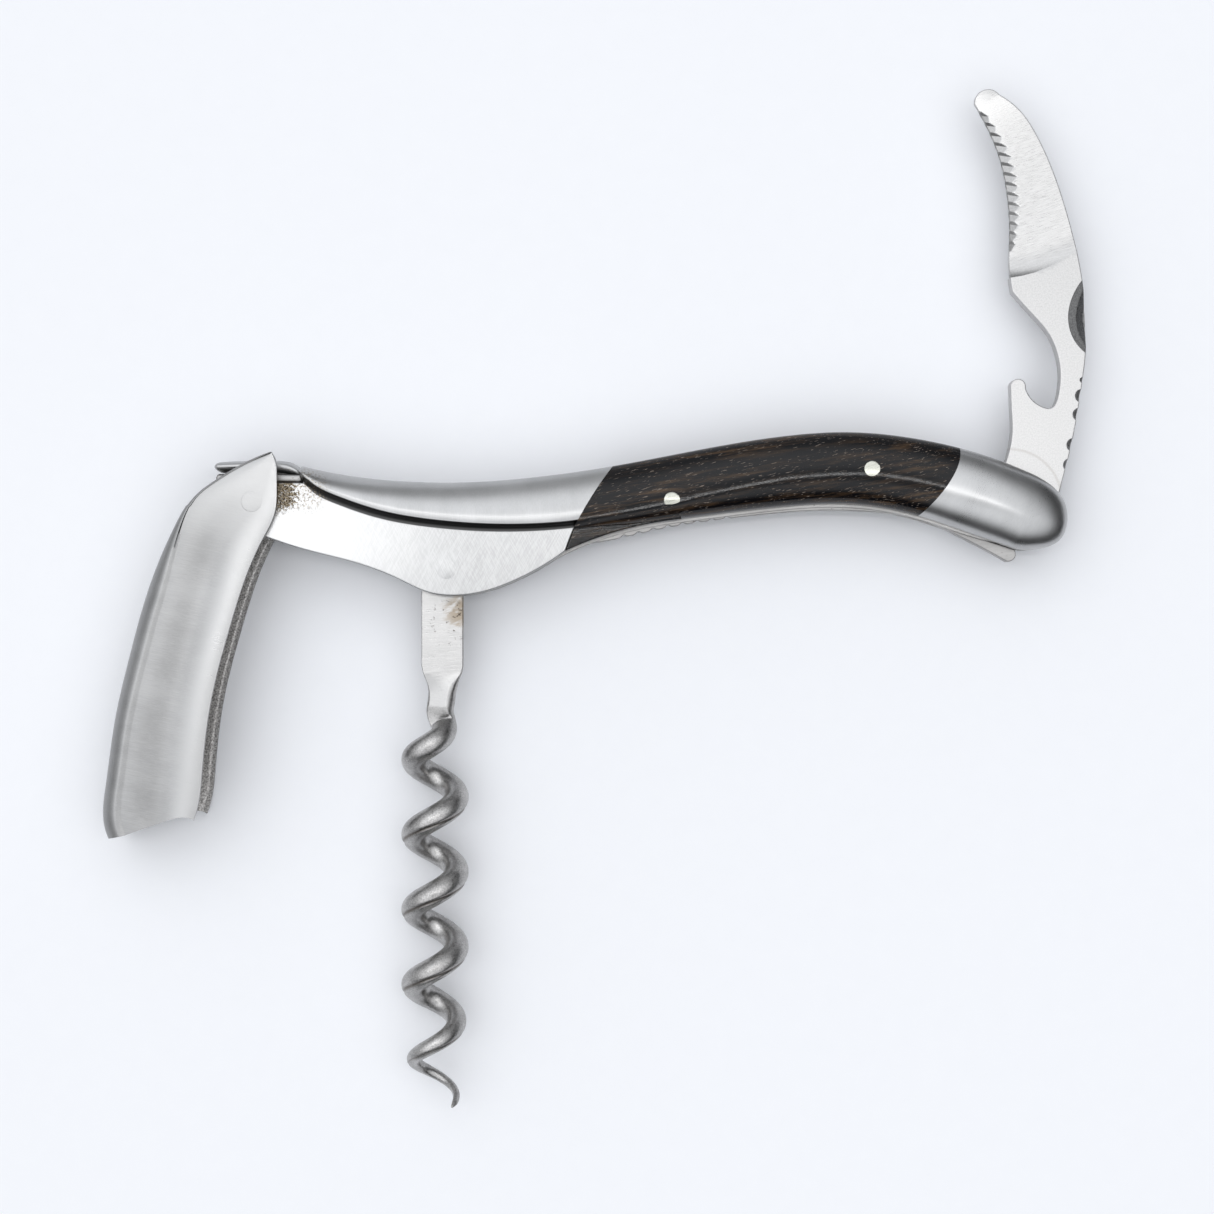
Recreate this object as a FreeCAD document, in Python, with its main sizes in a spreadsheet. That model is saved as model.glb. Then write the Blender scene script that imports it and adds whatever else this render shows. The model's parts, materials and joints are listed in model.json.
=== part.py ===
"""Waiters corkscrew with a U-shaped bottle lever, a five turn worm and a serrated foil knife.

The tool lies on its side.  Three hinge pins run across the handle, parallel to Z:
the lever's at the head, the worm's in the belly and the knife's at the tail.
Handle pieces are drawn about the worm's pin, the lever and the knife about their own pins,
and every sketch plane is the tool's mid-plane, so left and right pieces mirror each other.
An outline is a start point and its steps: a point is a straight line to it, a list of two
points is an arc through the first to the second, a longer list is a smooth curve.
"""
import FreeCAD, Part
import math
import os
import Sketcher
from FreeCAD import Placement, Rotation, Vector

DIMENSIONS = [
    ("worm_pin_x", -21.3, "worm pin from the middle of the tool, along the handle"),
    ("worm_pin_y", 4.25, "worm pin from the middle of the tool, across the handle"),
    ("lever_pin_x", -27.2, "lever pin from the worm pin"),
    ("lever_pin_y", 9.5, "lever pin from the worm pin"),
    ("knife_pin_x", 80.0, "knife pin from the worm pin"),
    ("knife_pin_y", 9.7, "knife pin from the worm pin"),
    ("front_pin_x", 31.8, "front scale pin from the worm pin"),
    ("front_pin_y", 9.7, "front scale pin from the worm pin"),
    ("rear_pin_x", 59.9, "rear scale pin from the worm pin"),
    ("rear_pin_y", 14.1, "rear scale pin from the worm pin"),
    ("spacer_pin_x", -9.0, "hidden spacer pin from the worm pin"),
    ("spacer_pin_y", 9.6, "hidden spacer pin from the worm pin"),
    ("half_width", 6.5, "mid-plane to the outside of lever, scales and bolsters"),
    ("half_gap", 1.4, "mid-plane to the inside of a liner"),
    ("liner_thickness", 1.2, "steel liner"),
    ("cheek_half", 5.0, "mid-plane to the flat cheek that the lever closes over"),
    ("lever_sheet", 1.3, "sheet thickness of the lever"),
    ("blade_thickness", 2.6, "knife tang and worm shank"),
    ("ground_thickness", 1.7, "knife above its plunge line"),
    ("lever_rivet_radius", 1.55, "rivet that the lever turns with"),
    ("hinge_rivet_radius", 1.5, "rivets of worm and knife"),
    ("scale_pin_radius", 1.15, "nickel silver pins through the wood"),
    ("spacer_pin_radius", 1.0, "hidden pin of the spacer"),
    ("running_clearance", 0.05, "radial clearance of the turning fits"),
    ("hidden_rivet_half", 4.6, "mid-plane to the end of the knife rivet, inside the bolster"),
    ("plate_half", 4.0, "half width of the head plate and its ledge"),
    ("edge_round", 0.9, "bevel of the scales"),
    ("bolster_bevel", 0.6, "bevel of the raised bolsters"),
    ("tail_round", 2.2, "rounding of the rear bolsters"),
    ("wire_radius", 1.75, "worm wire"),
    ("tip_radius", 0.4, "worm wire at its tip"),
    ("coil_radius", 3.05, "worm axis to the middle of the wire"),
    ("coil_pitch", 10.7, "advance of one worm turn"),
    ("coil_offset", -1.9, "worm axis from the worm pin"),
    ("coil_phase_y", -27.2, "place along the worm where the wire first swings fully to the left"),
    ("worm_reach", 76.5, "worm pin to the tip"),
]

doc = FreeCAD.newDocument("waiters_corkscrew")
sizes = doc.addObject("Spreadsheet::Sheet", "sizes")
for row, (alias, value, note) in enumerate(DIMENSIONS, start=1):
    sizes.set(f"A{row}", note)
    sizes.set(f"B{row}", str(value))
    sizes.setAlias(f"B{row}", alias)
doc.recompute()

# Side profile of the whole handle, drawn once and shared by liners, bolsters and scales.
TOP_LINE = [(-13.5, 13.2), (-6, 12.45), (2, 12.3), (10.5, 12.85), (23.4, 14.6), (36, 17.0),
            (47, 18.8), (57, 19.45), (66, 18.6), (75, 16.55), (82, 13.95)]
TAIL = [(86.3, 11.3), (87.9, 7.4), (86.6, 4.0), (83.1, 2.85)]
UNDERSIDE = [(80.2, 2.95), (73, 5.5), (66.8, 7.55), (57, 9.2), (47, 8.8), (36, 7.5), (26, 5.85),
             (16.8, 2.6), (9, -1.9), (5, -3.25), (1.5, -3.7), (-2.4, -3.3), (-6.5, -1.5),
             (-12.1, 0.7), (-20.6, 2.95), (-25.8, 4.7)]
HEAD_TOP = 12.2
HEAD_ARC = [(-32.16, 9.0), (-31.3, HEAD_TOP)]
SHOULDER_X = -20.4
PROFILE = [(SHOULDER_X, 14.6), TOP_LINE, TAIL, UNDERSIDE, HEAD_ARC, (SHOULDER_X, HEAD_TOP),
           (SHOULDER_X, 14.6)]

# Joint lines across the handle, each closed round everything that is cut away.
FRONT_JOINT = [(23.6, 14.9), (20.3, 9.9), (18.4, 6.5), (17.5, 4.5), (16.4, 1.8)]
REAR_JOINT = [(72.5, 18.0), (72.3, 15.4), (71.0, 12.6), (68.9, 9.8), (66.0, 7.0)]
# Corners well clear of the handle, where the cutting outlines turn.
AHEAD = -40
BEYOND = 95
BELOW = -10
ABOVE = 25
THROUGH = "40"
# Two heights closer than this are the same, and an edge this near a joint line follows it.
SAME_HEIGHT = 1e-4
ON_LINE = 0.02
LEAST_CUT = 0.5
# Foot of the step that separates the raised bolster from the flat cheek.
STEP = [(-19.2, 11.2), (-15.6, 9.2), (-9.3, 7.1), (-2, 5.85), (7.6, 5.25), (20.5, 6.0)]


def point(pair):
    return Vector(pair[0], pair[1], 0)


def draw(sketch, outline):
    """Add the edges of an outline to a sketch."""
    here = outline[0]
    for step in outline[1:]:
        if isinstance(step, tuple):
            sketch.addGeometry(Part.LineSegment(point(here), point(step)))
            here = step
        elif len(step) == 2:
            sketch.addGeometry(Part.Arc(point(here), point(step[0]), point(step[1])))
            here = step[1]
        else:
            curve = Part.BSplineCurve()
            curve.interpolate([point(here)] + [point(p) for p in step])
            sketch.addGeometry(curve)
            here = step[-1]


def make_body(label, centre=None):
    """A body whose own origin sits on the mid-plane at the worm's pin or at a named pin."""
    body = doc.addObject("PartDesign::Body", label)
    body.Label = label
    shift_x = f" + sizes.{centre}_x" if centre else ""
    shift_y = f" + sizes.{centre}_y" if centre else ""
    body.setExpression("Placement.Base.x", "sizes.worm_pin_x" + shift_x)
    body.setExpression("Placement.Base.y", "sizes.worm_pin_y" + shift_y)
    body.setExpression("Placement.Base.z", "sizes.half_width")
    return body


def make_sketch(body, name, level="0"):
    """An empty sketch parallel to the mid-plane, at a height given by an expression."""
    sketch = body.newObject("Sketcher::SketchObject", name)
    plane = [f for f in body.Origin.OriginFeatures if f.Role == "XY_Plane"][0]
    sketch.AttachmentSupport = (plane, [""])
    sketch.MapMode = "FlatFace"
    sketch.setExpression("AttachmentOffset.Base.z", level)
    return sketch


def extrude(body, kind, name, outline, length, level="0", down=False, middle=False):
    """Pad or pocket an outline over a length and from a level that are expressions."""
    sketch = make_sketch(body, name + "_outline", level)
    draw(sketch, outline)
    feature = body.newObject("PartDesign::" + kind, name)
    feature.Profile = sketch
    feature.setExpression("Length", length)
    feature.Midplane = middle
    feature.Reversed = down
    sketch.Visibility = False
    doc.recompute()
    return feature


def bore(body, name, pin, radius, half_length=THROUGH):
    """A round hole across the body at a named pin, or at the body's own pin."""
    sketch = make_sketch(body, name + "_circle", "0")
    sketch.addGeometry(Part.Circle(Vector(0, 0, 0), Vector(0, 0, 1), 1))
    index = sketch.addConstraint(Sketcher.Constraint("Radius", 0, 1))
    sketch.renameConstraint(index, "radius")
    sketch.setExpression("Constraints.radius", radius)
    if pin:
        sketch.setExpression("AttachmentOffset.Base.x", f"sizes.{pin}_x")
        sketch.setExpression("AttachmentOffset.Base.y", f"sizes.{pin}_y")
    pocket = body.newObject("PartDesign::Pocket", name)
    pocket.Profile = sketch
    pocket.setExpression("Length", f"2 * {half_length}")
    pocket.Midplane = True
    before = pocket.BaseFeature.Shape.Volume
    doc.recompute()
    if pocket.Shape.Volume > before - LEAST_CUT:
        raise RuntimeError(f"{body.Label}: {name} cuts nothing")
    return pocket


def dress(body, kind, name, size, chosen):
    """Fillet or chamfer the edges of the body's tip that a test function picks."""
    tip = body.Tip
    names = [f"Edge{i}" for i, edge in enumerate(tip.Shape.Edges, start=1) if chosen(edge)]
    feature = body.newObject("PartDesign::" + kind, name)
    feature.Base = (tip, names)
    feature.setExpression("Radius" if kind == "Fillet" else "Size", size)
    doc.recompute()
    return feature


def at_height(edge, height):
    return all(abs(abs(v.Z) - height) < SAME_HEIGHT for v in edge.Vertexes)


def on_curve(edge, joint):
    """True where an edge follows a joint line across the handle."""
    curve = Part.BSplineCurve()
    curve.interpolate([point(p) for p in joint])
    middle = edge.valueAt((edge.FirstParameter + edge.LastParameter) / 2)
    flat = Part.Vertex(middle.x, middle.y, 0)
    return flat.distToShape(curve.toShape())[0] < ON_LINE


def front_of(joint):
    """Closed outline round everything ahead of a joint line."""
    corners = [(joint[-1][0], BELOW), (AHEAD, BELOW), (AHEAD, ABOVE), (joint[0][0], ABOVE)]
    return [joint[0], joint[1:]] + corners + [joint[0]]


def behind(joint):
    """Closed outline round everything behind a joint line."""
    corners = [(joint[-1][0], BELOW), (BEYOND, BELOW), (BEYOND, ABOVE), (joint[0][0], ABOVE)]
    return [joint[0], joint[1:]] + corners + [joint[0]]


def below_step():
    """Closed outline round the flat cheek and everything below it."""
    foot = [(SHOULDER_X, 12.9)] + STEP
    rebate_end = [(32.9, 6.8), (34.5, BELOW)]
    corners = [(AHEAD, BELOW), (AHEAD, ABOVE), (SHOULDER_X, ABOVE)]
    return [foot[0], foot[1:]] + rebate_end + corners + [foot[0]]


def make_liner(side):
    liner = make_body(f"liner_{side}")
    down = side == "right"
    level = "-sizes.half_gap" if down else "sizes.half_gap"
    slope = [(x, y - 0.35) for x, y in UNDERSIDE[1:8]]
    outline = [(SHOULDER_X, 14.3), [(x, y - 0.3) for x, y in TOP_LINE],
               [(85.9, 11.2), (87.3, 7.4), (86.1, 4.4), (82.9, 3.3)],
               slope + UNDERSIDE[8:], HEAD_ARC, (SHOULDER_X, HEAD_TOP), (SHOULDER_X, 14.3)]
    extrude(liner, "Pad", "plate", outline, "sizes.liner_thickness", level, down)
    bore(liner, "lever_hole", "lever_pin", "sizes.lever_rivet_radius + sizes.running_clearance")
    bore(liner, "worm_hole", "", "sizes.hinge_rivet_radius")
    bore(liner, "knife_hole", "knife_pin", "sizes.hinge_rivet_radius")
    bore(liner, "front_pin_hole", "front_pin", "sizes.scale_pin_radius")
    bore(liner, "rear_pin_hole", "rear_pin", "sizes.scale_pin_radius")
    bore(liner, "spacer_pin_hole", "spacer_pin", "sizes.spacer_pin_radius")


def make_cover(name, side):
    """Pad of the handle profile from the liner out to the full width, and its open side."""
    cover = make_body(f"{name}_{side}")
    down = side == "right"
    sign = "-" if down else ""
    level = f"{sign}(sizes.half_gap + sizes.liner_thickness)"
    thick = "sizes.half_width - sizes.half_gap - sizes.liner_thickness"
    extrude(cover, "Pad", "blank", PROFILE, thick, level, down)
    return cover, down, sign


def outer_edges(joints, shortest=0.0):
    """Test for the edges round the outside face, leaving the joint lines and short edges sharp."""
    def chosen(edge):
        outside = at_height(edge, sizes.half_width) and edge.Length > shortest
        return outside and not any(on_curve(edge, joint) for joint in joints)
    return chosen


def make_front_bolster(side):
    bolster, down, sign = make_cover("front_bolster", side)
    extrude(bolster, "Pocket", "joint", behind(FRONT_JOINT), THROUGH, middle=True)
    depth = "sizes.half_width - sizes.cheek_half"
    extrude(bolster, "Pocket", "cheek", below_step(), depth, f"{sign}sizes.cheek_half", not down)
    bore(bolster, "lever_hole", "lever_pin", "sizes.lever_rivet_radius + sizes.running_clearance")
    bore(bolster, "worm_hole", "", "sizes.hinge_rivet_radius")
    dress(bolster, "Chamfer", "soft_edge", "sizes.bolster_bevel", outer_edges([FRONT_JOINT]))


def make_scale(side):
    scale, down, sign = make_cover("scale", side)
    extrude(scale, "Pocket", "front_joint", front_of(FRONT_JOINT), THROUGH, middle=True)
    extrude(scale, "Pocket", "rear_joint", behind(REAR_JOINT), THROUGH, middle=True)
    depth = "sizes.half_width - sizes.cheek_half"
    extrude(scale, "Pocket", "lever_rebate", below_step(), depth, f"{sign}sizes.cheek_half", not down)
    bore(scale, "front_pin_hole", "front_pin", "sizes.scale_pin_radius")
    bore(scale, "rear_pin_hole", "rear_pin", "sizes.scale_pin_radius")
    edges = outer_edges([FRONT_JOINT, REAR_JOINT], 20)
    dress(scale, "Chamfer", "soft_edge", "sizes.edge_round", edges)


def make_rear_bolster(side):
    bolster, down, sign = make_cover("rear_bolster", side)
    extrude(bolster, "Pocket", "joint", front_of(REAR_JOINT), THROUGH, middle=True)
    bore(bolster, "knife_hole", "knife_pin", "sizes.hinge_rivet_radius", "sizes.hidden_rivet_half")
    dress(bolster, "Fillet", "round_tail", "sizes.tail_round", outer_edges([REAR_JOINT]))


def make_back_spring():
    """Flat spring: the front arm bears on the worm's tang, the rear arm on the knife's."""
    spring = make_body("back_spring")
    under = [(12, 3.3), (21.7, 3.95), (30, 5.75), (41.6, 7.5), (53, 8.45), (61.5, 8.15), (67.2, 7.3),
             (72.9, 5.0), (79.3, 1.3)]
    over = [(78, 3.45), (76, 4.5), (74, 6.1), (70, 8.1), (63, 10.2), (54, 11.4), (44, 12.0),
            (34, 12.1), (26, 10.3), (12, 6.5), (-4.5, 5.7)]
    outline = [(-4.5, 3.6), under, [(80.1, 1.7), (80.3, 3.2)], over, (-4.5, 3.6)]
    extrude(spring, "Pad", "strip", outline, "2 * sizes.half_gap", middle=True)
    bore(spring, "front_pin_hole", "front_pin", "sizes.scale_pin_radius")


def make_front_spacer():
    """Block round the lever's rivet with a ledge for the head plate and a strip along the top."""
    spacer = make_body("front_spacer")
    top = [(x, y - 0.3) for x, y in TOP_LINE[3::-1]]
    outline = [(-25.8, 4.7), [(-17.8, 2.3), (-12.1, 0.8), (-9.5, 0.2)], [(-8.6, 3.2), (-7.5, 6.4)],
               [(-4, 7.6), (6, 7.9), (20.4, 8.8)], (20.4, 13.9), top + [(SHOULDER_X, 14.3)],
               (SHOULDER_X, 13.9), (-31.0, 13.9), (-31.3, HEAD_TOP), [(-32.16, 9.0), (-25.8, 4.7)]]
    extrude(spacer, "Pad", "block", outline, "2 * sizes.half_gap", middle=True)
    ledge = [(-32.5, HEAD_TOP), (-32.6, 13.2), [(-32.5, 13.5), (-32.1, 13.6)], (-20.9, 13.6),
             [(-20.55, 13.4), (-20.5, 13.0)], (-20.5, HEAD_TOP), (-32.5, HEAD_TOP)]
    extrude(spacer, "Pad", "ledge", ledge, "2 * sizes.plate_half", middle=True)
    bore(spacer, "lever_hole", "lever_pin", "sizes.lever_rivet_radius + sizes.running_clearance")
    bore(spacer, "pin_hole", "spacer_pin", "sizes.spacer_pin_radius")


def make_head_plate():
    """Small plain plate, turned down a little where it meets the bolsters."""
    plate = make_body("head_plate")
    outline = [(-32.2, 13.9), [(-32.9, 14.6), (-32.2, 15.3)], [(-28, 15.5), (-24.5, 15.4), (-21.4, 14.6)],
               [(-20.6, 14.2), (-20.9, 13.9)], (-32.2, 13.9)]
    extrude(plate, "Pad", "bar", outline, "2 * sizes.plate_half", middle=True)


def make_lever():
    """One bent sheet: two walls with pointed ears at the pin, joined along the back."""
    lever = make_body("lever", "lever_pin")
    ear = [(2.4, 6.95), [(3.0, 6.9), (3.15, 6.4)], [(3.5, 3.5), (3.5, 1.0), (3.3, -1.2)]]
    front = [(1.6, -5.1), (-0.2, -8.9), (-3.0, -17.3), (-5.7, -27.8), (-7.0, -38), (-7.6, -42.8)]
    foot = [(-8.2, -44.8), [(-11.5, -44.7), (-15.7, -45.8), (-20.0, -47.7)]]
    heel = [(-20.75, -47.4), (-21.1, -46.2)]
    back = [(-20.9, -39.5), (-19.7, -31.0), (-17.6, -21.8), (-14.7, -11.7), (-10.3, -2.4), (-5.3, 2.9)]
    outline = ear + [front] + foot + [heel, back, (2.4, 6.95)]
    extrude(lever, "Pad", "channel", outline, "2 * sizes.half_width", middle=True)
    inside = [(-17.5, -50), (-19.5, -47), [(-19.75, -43.5), (-19.2, -36.3), (-16.7, -23.0),
              (-13.4, -11.2), (-9.0, -2.9), (-7.6, -0.9)], (-11.2, 1.8), (-11.2, 9), (6, 9), (6, -50),
              (-17.5, -50)]
    gap = "2 * (sizes.half_width - sizes.lever_sheet)"
    extrude(lever, "Pocket", "channel_space", inside, gap, middle=True)
    bore(lever, "rivet_hole", "", "sizes.lever_rivet_radius")


def make_knife():
    """Foil knife with a cap lifter notch in its neck and a tang that rides on the spring."""
    knife = make_body("knife_blade", "knife_pin")
    tang = [[(-3.4, 4.9), (-4.7, 3.0), (-4.8, 0.5)], (-4.9, -3.6), [(-3.0, -5.4), (0.3, -6.15)],
            [(4.4, -4.3), (6.1, -0.4)], (6.8, 0.3)]
    spine = [(7.5, 2.9), (8.8, 8.0), (10.2, 15.9), (11.0, 24.0), (10.1, 33.2), (7.7, 42.9), (4.1, 51.9),
             (1.1, 56.2), (-1.4, 58.0)]
    nose = [(-3.9, 58.6), (-4.9, 56.6)]
    edge_line = [(-3.1, 53.4), (-1.4, 49.3), (-0.3, 44.3), (0.1, 38.0), (0.0, 33.0), (0.4, 29.8)]
    notch = [(2.8, 27.1), (5.6, 23.8), (7.1, 19.5), (7.0, 15.6), (5.9, 13.35), (4.2, 13.75), (2.3, 16.1)]
    hook = [(1.2, 17.5), (0.1, 16.6)]
    neck = [(0.25, 13.0), (0.35, 10.0), (-0.6, 5.5)]
    outline = [(-0.6, 5.5)] + tang + [spine, nose, edge_line, notch, hook, neck]
    extrude(knife, "Pad", "blank", outline, "sizes.blade_thickness", middle=True)
    ground = [(-8, 31.9), (0.2, 31.9), [(3.5, 32.6), (8.5, 35.0)], (14, 37), (14, 62), (-8, 62), (-8, 31.9)]
    depth = "(sizes.blade_thickness - sizes.ground_thickness) / 2"
    face = "sizes.ground_thickness / 2"
    extrude(knife, "Pocket", "ground_left", ground, depth, face, down=True)
    extrude(knife, "Pocket", "ground_right", ground, depth, "-" + face)
    bore(knife, "pin_hole", "", "sizes.hinge_rivet_radius + sizes.running_clearance")


# The worm along its own length: the neck leaves the shank, the wire leaves the middle line and
# opens into the coil, and its middle moves over from the neck's to the coil's.
NECK_END = -17.2
NECK_RADIUS = 1.25
NECK_MIDDLE = -0.9
LEAD_START = -17.0
LEAD_LENGTH = 4.0
OPEN_START = -19.5
OPEN_LENGTH = 7.0
# The wire is lofted through this many places; it is even between the two named ones.
WIRE_PLACES = 84
EVEN_FROM = 8
EVEN_TO = 62
SHANK_LEFT = [(-3.6, 0.6), (-3.75, -13.8), (-2.7, NECK_END), (-2.5, -20.5)]
SHANK_RIGHT = [(0.7, -20.5), (0.9, NECK_END), (2.2, -13.8), (2.2, 0.6)]
SHANK_TOP = (-0.7, 3.1)


def wire_centre(along):
    """Middle of the worm's wire at a place along the worm: a right-handed coil that opens up
    from the shank's middle line, in the worm pin's own frame."""
    turn = 2 * math.pi * (sizes.coil_phase_y - along) / sizes.coil_pitch - math.pi
    opened = min(max((OPEN_START - along) / OPEN_LENGTH, 0), 1)
    swing = sizes.coil_radius * opened * opened * (3 - 2 * opened)
    lead = min(max((LEAD_START - along) / LEAD_LENGTH, 0), 1)
    middle = NECK_MIDDLE + (sizes.coil_offset - NECK_MIDDLE) * lead
    return Vector(middle + swing * math.cos(turn), along, swing * math.sin(turn))


def wire_run(spine, start, end, start_radius, end_radius):
    """Solid of the worm's wire between two places along its middle line."""
    first = spine.parameter(wire_centre(start))
    last = spine.parameter(wire_centre(end))
    pipe = Part.BRepOffsetAPI.MakePipeShell(Part.Wire(Part.Edge(spine, first, last)))
    pipe.setFrenetMode(False)
    ends = [(first, start_radius)]
    if end_radius != start_radius:
        ends.append((last, end_radius))
    for at, radius in ends:
        ring = Part.Circle(spine.value(at), spine.tangent(at)[0], radius)
        pipe.add(Part.Wire(ring.toShape()), False, False)
    pipe.build()
    pipe.makeSolid()
    return pipe.shape()


def make_worm():
    """Flat shank with a rounded tang, running out into a pointed coil; one forged piece."""
    step = (-sizes.worm_reach - NECK_END) / WIRE_PLACES
    places = [NECK_END + step * i for i in range(WIRE_PLACES + 1)]
    spine = Part.BSplineCurve()
    spine.interpolate([wire_centre(place) for place in places])
    swelling = wire_run(spine, places[0], places[EVEN_FROM], NECK_RADIUS, sizes.wire_radius)
    even = wire_run(spine, places[EVEN_FROM], places[EVEN_TO], sizes.wire_radius, sizes.wire_radius)
    point_run = wire_run(spine, places[EVEN_TO], places[-1], sizes.wire_radius, sizes.tip_radius)
    coil = swelling.fuse([even, point_run])
    half = sizes.blade_thickness / 2
    shank_edges = []
    corners = [point(p) for p in SHANK_LEFT + SHANK_RIGHT]
    for a, b in zip(corners, corners[1:]):
        shank_edges.append(Part.LineSegment(a, b).toShape())
    shank_edges.append(Part.Arc(corners[-1], point(SHANK_TOP), corners[0]).toShape())
    flat = Part.Face(Part.Wire(shank_edges))
    flat.translate(Vector(0, 0, -half))
    shank = flat.extrude(Vector(0, 0, 2 * half))
    hole = Part.makeCylinder(sizes.hinge_rivet_radius + sizes.running_clearance, 4 * half,
                             Vector(0, 0, -2 * half))
    worm = doc.addObject("Part::Feature", "worm")
    worm.Label = "worm"
    worm.Shape = shank.fuse(coil).cut(hole).removeSplitter()
    worm.Placement = Placement(Vector(sizes.worm_pin_x, sizes.worm_pin_y, sizes.half_width), Rotation())


def make_pin(label, pin, radius, half_length):
    """A round rivet or pin across the tool, flush at both ends."""
    rod = doc.addObject("Part::Cylinder", label)
    rod.Label = label
    rod.setExpression("Radius", f"sizes.{radius}")
    rod.setExpression("Height", f"2 * ({half_length})")
    shift_x = f" + sizes.{pin}_x" if pin else ""
    shift_y = f" + sizes.{pin}_y" if pin else ""
    rod.setExpression("Placement.Base.x", "sizes.worm_pin_x" + shift_x)
    rod.setExpression("Placement.Base.y", "sizes.worm_pin_y" + shift_y)
    rod.setExpression("Placement.Base.z", f"sizes.half_width - ({half_length})")


def write_parts():
    """Check every object, then write one STEP file for each sub-part."""
    doc.recompute()
    failed = [o.Name for o in doc.Objects if "Invalid" in o.State or "Error" in o.State]
    if failed:
        raise RuntimeError(f"failed objects: {failed}")
    kinds = ("PartDesign::Body", "Part::Cylinder", "Part::Feature")
    pieces = [o for o in doc.Objects if o.TypeId in kinds]
    for piece in pieces:
        if piece.Shape.isNull() or not piece.Shape.isValid() or len(piece.Shape.Solids) != 1:
            raise RuntimeError(f"{piece.Label} is not one valid solid")
    os.makedirs("parts", exist_ok=True)
    whole = FreeCAD.BoundBox()
    for piece in pieces:
        whole.add(piece.Shape.BoundBox)
        piece.Shape.exportStep(f"parts/{piece.Label}.step")
        print(f"{piece.Label:20s} {piece.Shape.Volume:9.1f} mm3")
    print("pieces", len(pieces), "box", whole)


for side in ("left", "right"):
    make_liner(side)
    make_front_bolster(side)
    make_scale(side)
    make_rear_bolster(side)
make_back_spring()
make_front_spacer()
make_head_plate()
make_lever()
make_knife()
make_worm()
make_pin("lever_rivet", "lever_pin", "lever_rivet_radius", "sizes.half_width")
make_pin("worm_rivet", "", "hinge_rivet_radius", "sizes.cheek_half")
make_pin("knife_rivet", "knife_pin", "hinge_rivet_radius", "sizes.hidden_rivet_half")
make_pin("spring_rivet", "front_pin", "scale_pin_radius", "sizes.half_width")
make_pin("rear_scale_pin", "rear_pin", "scale_pin_radius", "sizes.half_width")
make_pin("spacer_pin", "spacer_pin", "spacer_pin_radius", "sizes.half_gap + sizes.liner_thickness")
write_parts()
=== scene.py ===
# %% [markdown]
# # A waiters corkscrew in steel and dark wood
# The tool lies on its side with the lever, the worm and the knife swung out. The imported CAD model
# gives the size, the hinge pins and how each part turns. This lesson dresses it: every visible
# piece is worked out as a surface with numpy, and every finish is built from shader nodes.
# All places are written in millimetres about one of the hinge pins and turned into metres at the end.

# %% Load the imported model
import json
import math

import bmesh
import bpy
import numpy as np
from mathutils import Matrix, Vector
from mathutils.geometry import delaunay_2d_cdt


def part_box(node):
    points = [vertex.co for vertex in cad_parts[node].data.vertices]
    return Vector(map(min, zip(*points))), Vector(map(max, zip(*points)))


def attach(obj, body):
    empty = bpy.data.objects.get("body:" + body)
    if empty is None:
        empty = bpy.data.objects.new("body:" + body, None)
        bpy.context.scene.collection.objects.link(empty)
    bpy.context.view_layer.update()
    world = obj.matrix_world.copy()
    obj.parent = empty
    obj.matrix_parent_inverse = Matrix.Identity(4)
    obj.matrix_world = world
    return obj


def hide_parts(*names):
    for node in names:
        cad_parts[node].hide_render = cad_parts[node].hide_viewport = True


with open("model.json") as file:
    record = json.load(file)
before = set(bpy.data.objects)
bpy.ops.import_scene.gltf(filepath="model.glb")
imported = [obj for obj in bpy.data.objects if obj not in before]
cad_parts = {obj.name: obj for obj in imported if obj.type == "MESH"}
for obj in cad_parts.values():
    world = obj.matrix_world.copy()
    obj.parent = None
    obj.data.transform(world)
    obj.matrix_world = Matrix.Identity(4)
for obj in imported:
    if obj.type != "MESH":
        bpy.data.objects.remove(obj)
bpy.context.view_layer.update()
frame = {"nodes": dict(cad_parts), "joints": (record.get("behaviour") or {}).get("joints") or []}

MM = 0.001
pins = {joint["name"]: np.array(joint["pos_m"]) / MM for joint in frame["joints"]}
WORM_PIN = pins["worm_hinge"]
LEVER_PIN = pins["lever_hinge"]
KNIFE_PIN = pins["knife_hinge"]
print("pins in mm:", {name: place.round(2).tolist() for name, place in pins.items()})


def middle_of(node):
    """Middle of a CAD node's box, in mm."""
    low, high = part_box(node)
    return (np.array(low) + np.array(high)) / 2 / MM


# %% [markdown]
# ## Lines
# Most edges of this tool are long easy curves. A smooth line is a cubic spline: each stretch
# between two points is a cubic, and the stretches share slope and bend where they meet. Blender has
# curve objects for this, but plain arrays can be measured, cut and blended, so the spline is solved
# here as one small set of linear equations.

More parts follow.
